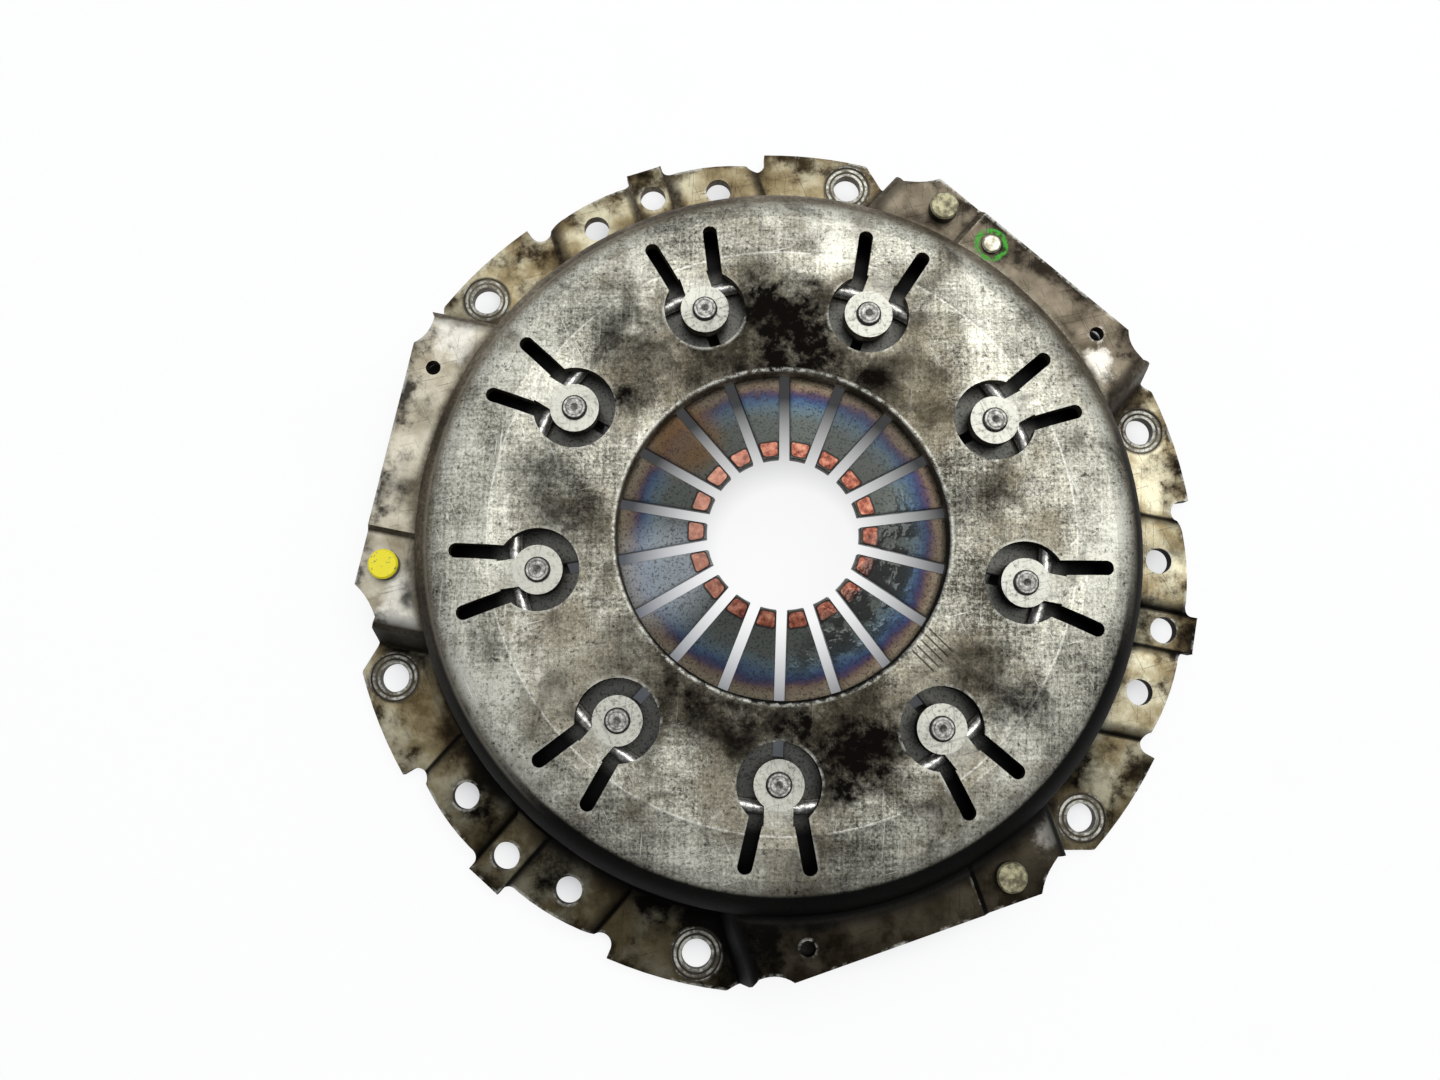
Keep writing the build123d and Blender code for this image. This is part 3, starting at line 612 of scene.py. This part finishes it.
def wall_film(t, p):
    """The baked brown film on the drawn wall, in broad streaks that run up it."""
    upright = add(t, "VectorMath", [p.mm, (1.0, 1.0, 0.6)], **TIMES)
    film = add(t, "TexNoise", {"Vector": upright, "Scale": 1 / 16, "Detail": 6.0, "Roughness": 0.6})
    scale = add(t, "TexNoise", {"Vector": upright, "Scale": 1 / 1.3, "Detail": 4.0, "Roughness": 0.75})
    film = add(t, "Mix", {0: 0.45, 2: film, 3: scale})
    return add(t, "ValToRGB", [film], stops=[(0.34, "#2b251c"), (0.46, "#4d4436"), (0.55, "#6b6151"),
                                             (0.66, "#978d7a")])


oil_and_shade_side = add(t, "VectorMath", [p.mm, OIL_AND_SHADE_SIDE], out=1, operation="DOT_PRODUCT")
dark = grime_and_shade(t, p, hollow, oil_and_shade_side)
dark = add(t, "Math", [dark, add(t, "MapRange", [seat, 0.0, 1.0, 1.0, 0.3])], **TIMES)
dry = add(t, "MapRange", [oil_and_shade_side, 30.0, -60.0], **SOFT)
# Painted shade: black on the side where the oil ran, brown wall film on the dry side.
soot_and_shade = add(t, "Mix", {0: dry, 6: "#020202", 7: wall_film(t, p)}, **TINT)
colour = add(t, "Mix", {0: dark, 6: colour, 7: soot_and_shade}, **TINT)
below = add(t, "MapRange", [p.up, -0.3, -0.6], **SOFT)
colour = add(t, "Mix", {0: below, 6: colour, 7: "#57524a"}, **TINT)
print("with grime:", len(t.nodes), "nodes")

# %%
# Gloss of the cover, and the end of its finish
oily = add(t, "Mix", {0: on_flange, 2: dome_oil, 3: flange_oil_and_shade})
sooty = add(t, "Math", [dark, oily], **MOST)
rough = add(t, "Mix", {0: marks, 2: 0.38, 3: 0.5})
rough = add(t, "Mix", {0: sooty, 2: rough, 3: 0.6})
wall_metal = add(t, "Math", [dry, 0.8], **TIMES)
metallic = add(t, "Mix", {0: dark, 2: 0.88, 3: wall_metal})
end_finish(t, colour, metallic, rough, marks, 0.04, **{"Specular IOR Level": 0.06})
dress(cover_finish, "cover")

# %% [markdown]
# ## Diaphragm spring: hardened, peened spring steel
#
# The spring is one dished ring of spring steel, slit into eighteen fingers. It flattens when the
# clutch is bolted down, so it can't be a rigid CAD solid in the scene. It is rebuilt here as a mesh of
# its own: an open sheet of equal fingers for the upper face, to which two modifiers give thickness and
# eased edges.

# %%
# Sizes of the spring, in millimetres
SLOT_HALF = 1.5
EYE_R, EYE_HALF = TONGUE_R, 5.1     # round end of each slot, where a rivet passes: place and radius
PROFILE = [(21.6, 12.295), (44.0, 7.815), (60.0, 6.375), (97.5, 0.0)]      # radius, height
SPRING_THICK = 2.434
SECTOR = 2 * pi / FINGERS


def spring_height(r):
    """Height of the upper face above its outer edge."""
    for (r0, z0), (r1, z1) in zip(PROFILE, PROFILE[1:]):
        if r <= r1 + 1e-6:
            return z0 + (z1 - z0) * (r - r0) / (r1 - r0)


def eye_angle(r):
    """Half of the round end's opening angle at radius r, in radians."""
    return acos(min(1.0, (r * r + EYE_R ** 2 - EYE_HALF ** 2) / (2 * r * EYE_R)))


def slot_edge(r):
    """Half of the whole slot's opening angle at radius r, in radians."""
    straight = asin(SLOT_HALF / r) if r < EYE_R else 0.0
    return max(straight, eye_angle(r)) if abs(r - EYE_R) < EYE_HALF else straight


round_end = [EYE_R - EYE_HALF * cos(pi * k / 16) for k in range(17)]
round_end = [r for r in round_end if r >= EYE_R or eye_angle(r) >= asin(SLOT_HALF / r)]
ROWS = sorted({21.6, 22.4, 26, 32, 38, 44, 50, 56, 60, 62.5, *round_end, 78, 84, 90, 97.5})
print("rows of the spring:", len(ROWS))


# %%
# Upper face of the spring
ACROSS = 8                  # faces across one finger


def finger_sheet():
    """The upper face of the whole spring, as one open sheet."""
    sheet = bmesh.new()
    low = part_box("diaphragm_spring")[0][2] + SPRING_THICK / 1000
    for finger in range(FINGERS):
        last = None
        for r in ROWS:
            edge = slot_edge(r)
            row = []
            for k in range(ACROSS + 1):
                angle = finger * SECTOR + edge + (SECTOR - 2 * edge) * k / ACROSS
                row.append(sheet.verts.new((r * cos(angle) / 1000, r * sin(angle) / 1000,
                                            low + spring_height(r) / 1000)))
            if last:
                for k in range(ACROSS):
                    sheet.faces.new((last[k], row[k], row[k + 1], last[k + 1]))
            last = row
    bmesh.ops.remove_doubles(sheet, verts=sheet.verts, dist=2e-5)
    return sheet


upper_face = finger_sheet()
print("faces of the open sheet:", len(upper_face.faces))


# %%
# Thickness and eased edges
SLIMMER = 0.985             # keeps the sloping sheet inside the CAD spring


def thick_piece(sheet, name, thick_mm, ease_mm):
    """Turns an open sheet into a solid below it with eased edges, and returns its object."""
    mesh = bpy.data.meshes.new(name)
    sheet.to_mesh(mesh)
    sheet.free()
    piece = bpy.data.objects.new(name, mesh)
    bpy.context.collection.objects.link(piece)
    solid = piece.modifiers.new("thickness", "SOLIDIFY")
    solid.thickness, solid.offset = thick_mm / 1000, -1.0
    ease = piece.modifiers.new("eased edges", "BEVEL")
    ease.width, ease.segments, ease.limit_method = ease_mm / 1000, 2, "ANGLE"
    ease.angle_limit = radians(50)
    whole = bpy.context.evaluated_depsgraph_get()
    final = bpy.data.meshes.new_from_object(piece.evaluated_get(whole))
    piece.modifiers.clear()
    piece.data = final
    for face in final.polygons:
        face.use_smooth = True
    final.set_sharp_from_angle(angle=radians(35))
    return piece


spring = thick_piece(upper_face, "finger_spring", SPRING_THICK * SLIMMER, 0.3)
print("spring faces:", len(spring.data.polygons))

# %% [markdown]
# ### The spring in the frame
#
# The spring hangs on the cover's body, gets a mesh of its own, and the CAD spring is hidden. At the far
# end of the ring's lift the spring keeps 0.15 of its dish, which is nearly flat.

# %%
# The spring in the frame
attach(spring, "cover_body")
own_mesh(spring)
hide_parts("diaphragm_spring")
print("height of the spring:", round(spring.dimensions.z * 1000, 1), "mm")

# %% [markdown]
# ### Colour of the spring
#
# Steel that has been hot keeps the colours of its oxide film: straw, purple, then blue, in rings where
# the heat faded. The colours follow the distance from the axis, shifted a little by noise. The fingers
# differ in brightness, some of those on one side are paler and bluish, and those beside them are
# scorched.


# %%
# Heat colours
def heat_rings(t, p):
    """Colour of the spring by distance from the axis, before wear and oil."""
    wave = add(t, "TexNoise", {"Vector": p.mm, "Scale": 1 / 9, "Detail": 4.0, "Roughness": 0.65})
    shift = add(t, "MapRange", [wave, 0.3, 0.7, -1.3, 1.3])
    place = add(t, "MapRange", [add(t, "Math", [p.r, shift], **PLUS), 22.0, 62.0])
    return add(t, "ValToRGB", [place], stops=[
        (0.0, "#474a43"), (0.28, "#525752"), (0.37, "#54656c"), (0.425, "#3f566e"), (0.465, "#30395a"),
        (0.495, "#46364a"), (0.53, "#6a5848"), (0.59, "#7f735f"), (0.68, "#4d4b45"), (1.0, "#5e5d57")])


def fingers_shade(t, p, colour):
    """Some fingers darker than others, some paler and bluish and some scorched."""
    number = add(t, "Math", [add(t, "Math", [p.turn, 1 / SECTOR], **TIMES)], operation="FLOOR")
    chance = add(t, "TexWhiteNoise", {1: number}, noise_dimensions="1D")
    shade = add(t, "MapRange", [chance, 0.0, 1.0, 0.0, 0.55])
    inside = add(t, "MapRange", [p.r, 52.0, 47.0], **SOFT)
    shade = add(t, "Math", [shade, inside], **TIMES)
    pale = add(t, "VectorMath", [p.mm, (-30, -17, 35)], out=1, operation="DISTANCE")
    pale = add(t, "MapRange", [pale, 19.0, 6.0, 0.0, 0.42], **SOFT)
    scorch = add(t, "VectorMath", [p.mm, (-32, 21, 33)], out=1, operation="DISTANCE")
    scorch = add(t, "MapRange", [scorch, 14.0, 6.0, 0.0, 0.8], **SOFT)
    for share, layer in ((shade, "#35342f"), (pale, "#c9d2d6"), (scorch, "#5a4020")):
        colour = add(t, "Mix", {0: share, 6: colour, 7: layer}, **TINT)
    return colour


spring_finish, t = new_finish("peened_spring_steel")
p = places(t)
colour = fingers_shade(t, p, heat_rings(t, p))
peened = add(t, "TexNoise", {"Vector": p.mm, "Scale": 1 / 0.75, "Detail": 3.0, "Roughness": 0.75})
speck = add(t, "MapRange", [peened, 0.5, 0.36, 0.0, 0.75], **SOFT)
# Painted shadow: the spring is painted near black where it runs in under the cover.
shadow_under_cover = add(t, "MapRange", [p.r, 78.0, 83.0], **SOFT)
for share, layer in ((speck, "#1d1c1a"), (shadow_under_cover, "#0d0b0a")):
    colour = add(t, "Mix", {0: share, 6: colour, 7: layer}, **TINT)
print("heat colours and peening:", len(t.nodes), "nodes")

# %% [markdown]
# ### Worn and wet ends of the fingers
#
# The release bearing has rubbed a coppery pad on the end of each finger, with round corners, because
# its outline is drawn by distance. The fingers on one side are still wet with oil, which is darker,
# smoother and less metallic than the steel below it.


# %%
# Worn pads
PAD_R, PAD_HALF = 24.25, 1.2        # middle of a pad, and half of its straight length
PAD_INSET = 2.75                    # from the middle of the slot to the pad's straight side
WET_SIDE = (0.93, -0.37, 0)


def wear_pad(t, p):
    """The rubbed pad at each finger's end, from 0 to 1, and the dark line round it."""
    across, out = nearest_of(t, p, FINGERS, 10)
    across = add(t, "Math", [across], operation="ABSOLUTE")
    half = add(t, "Math", [out, sin(SECTOR / 2), -PAD_INSET], operation="MULTIPLY_ADD")
    side = add(t, "Math", [add(t, "Math", [across, half], **MINUS), 0.0], **MOST)
    ends = add(t, "Math", [add(t, "Math", [out, PAD_R], **MINUS)], operation="ABSOLUTE")
    ends = add(t, "Math", [add(t, "Math", [ends, PAD_HALF], **MINUS), 0.0], **MOST)
    away = add(t, "VectorMath", [add(t, "CombineXYZ", [side, ends])], out=1, operation="LENGTH")
    pad = add(t, "MapRange", [away, 0.95, 0.65], **SOFT)
    line = add(t, "MapRange", [away, 1.6, 0.9], **SOFT)
    return pad, line


def rubbed_copper(t, p):
    """The pads' colour, painted paler where x is low as if lit."""
    rubbed = add(t, "TexNoise", {"Vector": p.mm, "Scale": 1 / 2.2, "Detail": 4.0, "Roughness": 0.7})
    copper = add(t, "ValToRGB", [rubbed], stops=[(0.36, "#4f271b"), (0.48, "#8f4f3c"), (0.66, "#bb8269")])
    # Painted light: the pads are paler where x is low.
    lit_pads = add(t, "MapRange", [p.x, -4.0, -26.0, 0.0, 0.3], **SOFT)
    return add(t, "Mix", {0: lit_pads, 6: copper, 7: "#e5b29b"}, **TINT)


pad, line = wear_pad(t, p)
colour = add(t, "Mix", {0: line, 6: colour, 7: "#191311"}, **TINT)
colour = add(t, "Mix", {0: pad, 6: colour, 7: rubbed_copper(t, p)}, **TINT)
print("with worn pads:", len(t.nodes), "nodes")


# %%
# Wet oil, and the end of the spring's finish
def wet_oil(t, p, puddle):
    """Where the fingers are wet, from 0 to 1."""
    wet_side = add(t, "VectorMath", [p.mm, WET_SIDE], out=1, operation="DOT_PRODUCT")
    wet = add(t, "Math", [add(t, "MapRange", [wet_side, 17.0, 27.0], **SOFT),
                          add(t, "MapRange", [p.r, 41.0, 35.0], **SOFT)], **TIMES)
    return add(t, "Math", [wet, add(t, "MapRange", [puddle, 0.4, 0.52], **SOFT)], **TIMES)


puddle = add(t, "TexNoise", {"Vector": p.mm, "Scale": 1 / 6, "Detail": 3.0})
wet = wet_oil(t, p, puddle)
colour = add(t, "Mix", {0: add(t, "Math", [wet, 0.8], **TIMES), 6: colour, 7: "#15130c"}, **TINT)
rough = add(t, "Mix", {0: wet, 2: 0.4, 3: 0.08})
height = add(t, "Mix", {0: wet, 2: peened, 3: add(t, "Math", [puddle, 9.0], **TIMES)})
metallic = add(t, "Mix", {0: wet, 2: 0.75, 3: 0.3})
end_finish(t, colour, metallic, rough, height, 0.05)
spring.data.materials.append(spring_finish)
print("spring dressed:", len(t.nodes), "nodes")

# %% [markdown]
# ## Leaf straps: rolled spring steel
#
# Three packs of three thin leaves carry the ring. One end of each leaf moves with the ring and the
# other is fast to the cover, so a rigid leaf would come off one of them.


# %%
# Leaves cut across where they are free
STRAP_AXES = {"a": 60, "b": 180, "c": 300}      # direction of each strap's middle, in degrees
STRAP_W = 0.1091                                # from the axis of the plate to a strap, in metres
BEND_S = 0.0215                                 # a leaf is free this far each way from its middle
CUTS = 6                                        # cuts on each side of the middle


def on_strap(axis, along, out, z=0.0):
    """A point given along a strap and out from the centre."""
    a = radians(axis)
    return Vector((out * cos(a) - along * sin(a), out * sin(a) + along * cos(a), z))


def bending_leaf(letter, number):
    """A copy of one CAD leaf, cut across where it is free between its rivets."""
    name = f"strap_{letter}_leaf_{number}"
    axis = STRAP_AXES[letter]
    body = bmesh.new()
    body.from_mesh(nodes[name].data)
    along = on_strap(axis, 1.0, 0.0)
    for step in range(-CUTS, CUTS + 1):
        plane = on_strap(axis, BEND_S * step / CUTS, STRAP_W)
        geometry = body.verts[:] + body.edges[:] + body.faces[:]
        bmesh.ops.bisect_plane(body, geom=geometry, plane_co=plane, plane_no=along, dist=1e-6)
    mesh = bpy.data.meshes.new(f"bending_{name}")
    body.to_mesh(mesh)
    body.free()
    piece = bpy.data.objects.new(f"bending_{name}", mesh)
    bpy.context.collection.objects.link(piece)
    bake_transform(piece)
    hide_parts(name)
    return piece


leaves = [bending_leaf(letter, number) for letter in STRAP_AXES for number in (1, 2, 3)]
print("leaves:", len(leaves), "with", len(leaves[0].data.polygons), "faces each")

# %% [markdown]
# ## Wire rings and leaves: worked steel
#
# The wire rings are drawn spring wire, smooth and pale where the spring rocks on them. The leaves are
# cold rolled, bluish and a little duller. Both are bare steel with a slight mottle, so one function
# makes both.


# %%
# Small steel pieces
def worked_steel(name, dark, light, size_mm, rough):
    """Steel with a mottled surface whose patches are size_mm across."""
    material, t = new_finish(name)
    p = places(t)
    mottle = add(t, "TexNoise", {"Vector": p.mm, "Scale": 1 / size_mm, "Detail": 6.0, "Roughness": 0.72})
    tone = add(t, "MapRange", [mottle, 0.36, 0.64], **SOFT)
    colour = add(t, "Mix", {0: tone, 6: dark, 7: light}, **TINT)
    lie = add(t, "MapRange", [mottle, 0.3, 0.7, rough + 0.1, rough - 0.08])
    end_finish(t, colour, 0.8, lie, mottle, 0.08)
    return material


dress(worked_steel("drawn_spring_wire", "#77756f", "#d4d2ca", 1.5, 0.25),
      "pivot_ring_upper", "pivot_ring_lower")
rolled = worked_steel("rolled_spring_steel", "#3a3c40", "#7d8085", 3.0, 0.35)
for leaf in leaves:
    leaf.data.materials.clear()
    leaf.data.materials.append(rolled)
print("leaves dressed:", len(leaves))

# %% [markdown]
# ## Pressure ring: grey cast iron
#
# The ring is cast in sand, which leaves a rough dark skin, and its friction face is turned. The turning
# tool and the clutch disc draw fine tracks round that face, and slipping heats it blue in patches. The
# tracks come from noise of one dimension, read along the distance from the axis.


# %%
# Cast ring
FACE_R = (101.5, 100.5)     # the friction face ends here


def cast_iron():
    """A rough casting with a turned and worn friction face below."""
    material, t = new_finish("grey_cast_iron")
    p = places(t)
    skin = add(t, "TexNoise", {"Vector": p.mm, "Scale": 1 / 2.5, "Detail": 6.0, "Roughness": 0.72})
    tone = add(t, "MapRange", [skin, 0.36, 0.64], **SOFT)
    rough_skin = add(t, "Mix", {0: tone, 6: "#1e1c1a", 7: "#4b4743"}, **TINT)
    tracks = add(t, "TexNoise", {1: add(t, "Math", [p.r, 1 / 1.3], **TIMES), "Detail": 4.0,
                                 "Roughness": 0.7}, noise_dimensions="1D")
    tone = add(t, "MapRange", [tracks, 0.35, 0.65])
    worn = add(t, "Mix", {0: tone, 6: "#55524e", 7: "#a09d97"}, **TINT)
    heat = add(t, "TexNoise", {"Vector": p.mm, "Scale": 1 / 18, "Detail": 3.0})
    blued = add(t, "MapRange", [heat, 0.52, 0.68, 0.0, 0.6], **SOFT)
    worn = add(t, "Mix", {0: blued, 6: worn, 7: "#3d4048"}, **TINT)
    face = add(t, "MapRange", [p.up, -0.9, -0.98], **SOFT)
    face = add(t, "Math", [face, add(t, "MapRange", [p.r, *FACE_R], **SOFT)], **TIMES)
    colour = add(t, "Mix", {0: face, 6: rough_skin, 7: worn}, **TINT)
    rough = add(t, "Mix", {0: face, 2: 0.6, 3: 0.35})
    height = add(t, "Mix", {0: face, 2: skin, 3: tracks})
    end_finish(t, colour, 0.8, rough, height, 0.08)
    return material


dress(cast_iron(), "pressure_ring")

# %% [markdown]
# ## Spacer rivets: cold headed steel
#
# Nine rivets hold the spring under the tongues. The riveting tool squeezed each upper end flat and left
# a ring round a stained middle. The finish measures from the nearest of the nine, so it fits them all.


# %%
# Ends of the spacer rivets
def riveted_end():
    """A flat riveted end with a dark rim, a tool ring and a stained middle, and the rivet below it
    painted darker as shade.
    """
    material, t = new_finish("cold_headed_spacer_steel")
    p = places(t)
    across, out = nearest_of(t, p, TONGUES, 0)
    away = close_to(t, across, out, TONGUE_R)
    mottle = add(t, "TexNoise", {"Vector": p.mm, "Scale": 1 / 1.1, "Detail": 5.0, "Roughness": 0.75})
    colour = add(t, "ValToRGB", [mottle], stops=[(0.34, "#3d3b37"), (0.5, "#8d8b84"), (0.62, "#bdbcb4")])
    rim = add(t, "MapRange", [away, 2.85, 3.4, 0.0, 0.9], **SOFT)
    tool = add(t, "Math", [add(t, "Math", [away, 2.35], **MINUS)], operation="ABSOLUTE")
    tool = add(t, "MapRange", [tool, 0.3, 0.08, 0.0, 0.6], **SOFT)
    middle = add(t, "MapRange", [away, 1.9, 0.3, 0.0, 0.55], **SOFT)
    # Painted shade: the rivet below its flat end is painted darker.
    low = add(t, "MapRange", [p.z, 35.5, 34.5], **SOFT)
    for share, layer in ((rim, "#1a1815"), (tool, "#2a2825"), (middle, "#35291f"), (low, "#3b3936")):
        colour = add(t, "Mix", {0: share, 6: colour, 7: layer}, **TINT)
    end_finish(t, colour, 0.7, 0.4, mottle, 0.1)
    return material


dress(riveted_end(), *(f"spacer_rivet_{i}" for i in range(1, TONGUES + 1)))

# %% [markdown]
# ## Strap rivets and balance rivet
#
# Their heads are formed cold too, but keep a dull olive oxide skin, which looks less metallic. One head
# was marked with yellow paint, which isn't a metal at all and has chipped. The three rivets of the ring
# are wet with oil, and the balance rivet is plated with zinc and stayed pale.


# %%
# Heads of the strap rivets and the balance rivet
def headed_rivet(name, dark, light, paint=None):
    """A rivet head with a dull oxide skin, or with a coat of paint that has chipped, and with its sides
    painted dark as shade.
    """
    material, t = new_finish(name)
    p = places(t)
    skin = add(t, "TexNoise", {"Vector": p.mm, "Scale": 1 / 2.4, "Detail": 6.0, "Roughness": 0.7})
    tone = add(t, "MapRange", [skin, 0.38, 0.62], **SOFT)
    colour = add(t, "Mix", {0: tone, 6: dark, 7: light}, **TINT)
    metallic, rough = 0.55, 0.42
    if paint:
        fine = add(t, "TexNoise", {"Vector": p.mm, "Scale": 1 / 1.1, "Detail": 5.0, "Roughness": 0.7})
        chip = add(t, "MapRange", [fine, 0.35, 0.41], **SOFT)
        coat = add(t, "Math", [chip, add(t, "MapRange", [p.up, 0.1, 0.5], **SOFT)], **TIMES)
        colour = add(t, "Mix", {0: coat, 6: colour, 7: paint}, **TINT)
        metallic = add(t, "Mix", {0: coat, 2: metallic, 3: 0.0})
    # Painted shade: the sides of the head are painted near black.
    side = add(t, "MapRange", [p.up, 0.8, 0.3], **SOFT)
    side = add(t, "Math", [side, 0.85], **TIMES)
    colour = add(t, "Mix", {0: side, 6: colour, 7: "#16130f"}, **TINT)
    end_finish(t, colour, metallic, rough, skin, 0.06)
    return material


dress(headed_rivet("cold_headed_strap_steel", "#534e38", "#a59f7d"),
      "strap_a_cover_rivet", "strap_c_cover_rivet")
dress(headed_rivet("oiled_strap_steel", "#0d0b09", "#2a2620"),
      *(f"strap_{letter}_ring_rivet" for letter in STRAP_AXES))
dress(headed_rivet("marking_paint_on_steel", "#5f5a43", "#9b9468", "#efe014"), "strap_b_cover_rivet")
dress(headed_rivet("zinc_plated_balance_steel", "#8f8a72", "#dedac6"), "balance_rivet")

# %% [markdown]
# ## Floor
#
# The plate lies on a board painted white. Away from the plate the camera sees most of it as pure white,
# so that the shadow stays soft. Under the plate it shows the dim light that really reaches it, because
# the slots look down on it, and its colour there is painted a bluish shade as well, darker where y is
# high: painted shade. In the middle of the opening it is bright again.

# %%
# Floor
HOLE_MIDDLE = (4, 0, 0)     # the opening seen by the camera, which looks in at a slant


def white_floor():
    """White paint that fades to a painted bluish shade where the plate covers it, darker where y is high.
    """
    material, t = new_finish("white_painted_board")
    p = places(t)
    smudge = add(t, "TexNoise", {"Vector": p.mm, "Scale": 1 / 60, "Detail": 5.0})
    smudge = add(t, "MapRange", [smudge, 0.55, 0.75], **SOFT)
    paint = add(t, "Mix", {0: smudge, 6: "#f7f7f7", 7: "#efefef"}, **TINT)
    hole = add(t, "VectorMath", [p.mm, HOLE_MIDDLE], out=1, operation="DISTANCE")
    # Painted shade under the plate, darker where y is high.
    shaded = add(t, "MapRange", [hole, 21.0, 50.0])
    covered = add(t, "Math", [shaded, add(t, "MapRange", [p.r, 128.0, 100.0], **SOFT)], **TIMES)
    deep = add(t, "MapRange", [p.y, -12.0, 25.0], **SOFT)
    shade = add(t, "Mix", {0: deep, 6: "#b4c2d6", 7: "#515d6b"}, **TINT)
    paint = add(t, "Mix", {0: covered, 6: paint, 7: shade}, **TINT)
    matt = add(t, "BsdfPrincipled", {"Base Color": paint, "Roughness": 0.6})
    glow = add(t, "Emission", {"Color": "#ffffff", "Strength": 1.0})
    rays = add(t, "LightPath").node.outputs
    seen = add(t, "Math", [rays["Is Camera Ray"], rays["Is Glossy Ray"]], **MOST)
    seen = add(t, "Math", [seen, rays["Is Transmission Ray"]], **MOST)
    lift = add(t, "MapRange", [covered, 0.0, 1.0, 0.9, 0.05])
    lift = add(t, "Math", [lift, seen], **TIMES)
    both = add(t, "MixShader", [lift, matt, glow])
    add(t, "OutputMaterial", {"Surface": both})
    return material


bpy.ops.mesh.primitive_plane_add(size=6.0, location=(0, 0, 0))
floor = bpy.context.object
floor.name = "floor"
floor.data.materials.append(white_floor())
print("floor:", [round(side, 1) for side in floor.dimensions[:2]], "metres")

# %% [markdown]
# ## Light
#
# A soft grey sky, brighter above and behind the plate, fills every side. One large soft box above it
# gives the steel its broad sheen and throws a soft shadow. Both are placed in the picture's own
# directions, which are turned by 11.4 degrees from the plate's.


# %%
# Sky
PICTURE_TURN = radians(11.4)


def across(right, up, high=0.0):
    """A place given in the picture's directions, as a place in the object's frame."""
    c, s = cos(PICTURE_TURN), sin(PICTURE_TURN)
    return Vector((right * c - up * s, right * s + up * c, high))


def soft_sky():
    """A world that is bright overhead and behind the plate and dim in front of it."""
    world = bpy.data.worlds.new("soft_sky")
    world.use_nodes = True
    t = world.node_tree
    t.nodes.clear()
    way = t.nodes.new("ShaderNodeTexCoord").outputs["Generated"]
    bright_way = across(0.0, 0.75, 0.6).normalized()
    toward = add(t, "VectorMath", [way, bright_way], out=1, operation="DOT_PRODUCT")
    level = add(t, "MapRange", [toward, -0.5, 0.7, 0.12, 0.75])
    sky = add(t, "Background", {"Color": "#f2f6ff", "Strength": level})
    white = add(t, "Background", {"Color": "#ffffff", "Strength": 1.0})
    seen = add(t, "LightPath").node.outputs["Is Camera Ray"]
    both = add(t, "MixShader", [seen, sky, white])
    add(t, "OutputWorld", {"Surface": both})
    return world


bpy.context.scene.world = soft_sky()
print("sky nodes:", len(bpy.context.scene.world.node_tree.nodes))

# %%
# Soft box, 0.9 by 0.8 metres
light = bpy.data.lights.new("overhead", "AREA")
light.shape = "RECTANGLE"
light.size, light.size_y = 0.9, 0.8
light.energy = 7.4
softbox = bpy.data.objects.new("overhead", light)
bpy.context.collection.objects.link(softbox)
softbox.location = across(0.2, 0.33, 1.1)
softbox.rotation_euler = (-softbox.location).to_track_quat("-Z", "Y").to_euler()
print("soft box:", round(softbox.location.length, 2), "metres from the plate")

# %% [markdown]
# ## Camera
#
# The camera stands 0.38 metres above the floor and leans by 9 degrees, so the near side of the drawn
# wall shows and the far side doesn't.

# %%
# Camera
lens = bpy.data.cameras.new("camera")
lens.lens, lens.sensor_width = 31.04, 36.0
camera = bpy.data.objects.new("camera", lens)
bpy.context.collection.objects.link(camera)
camera.location = (-0.01281, -0.06098, 0.37703)
camera.rotation_euler = (radians(9.2465), radians(-1.182), PICTURE_TURN)
bpy.context.scene.camera = camera
bpy.context.scene.view_settings.view_transform = "Standard"
print("camera sees", round(degrees(lens.angle), 1), "degrees across")
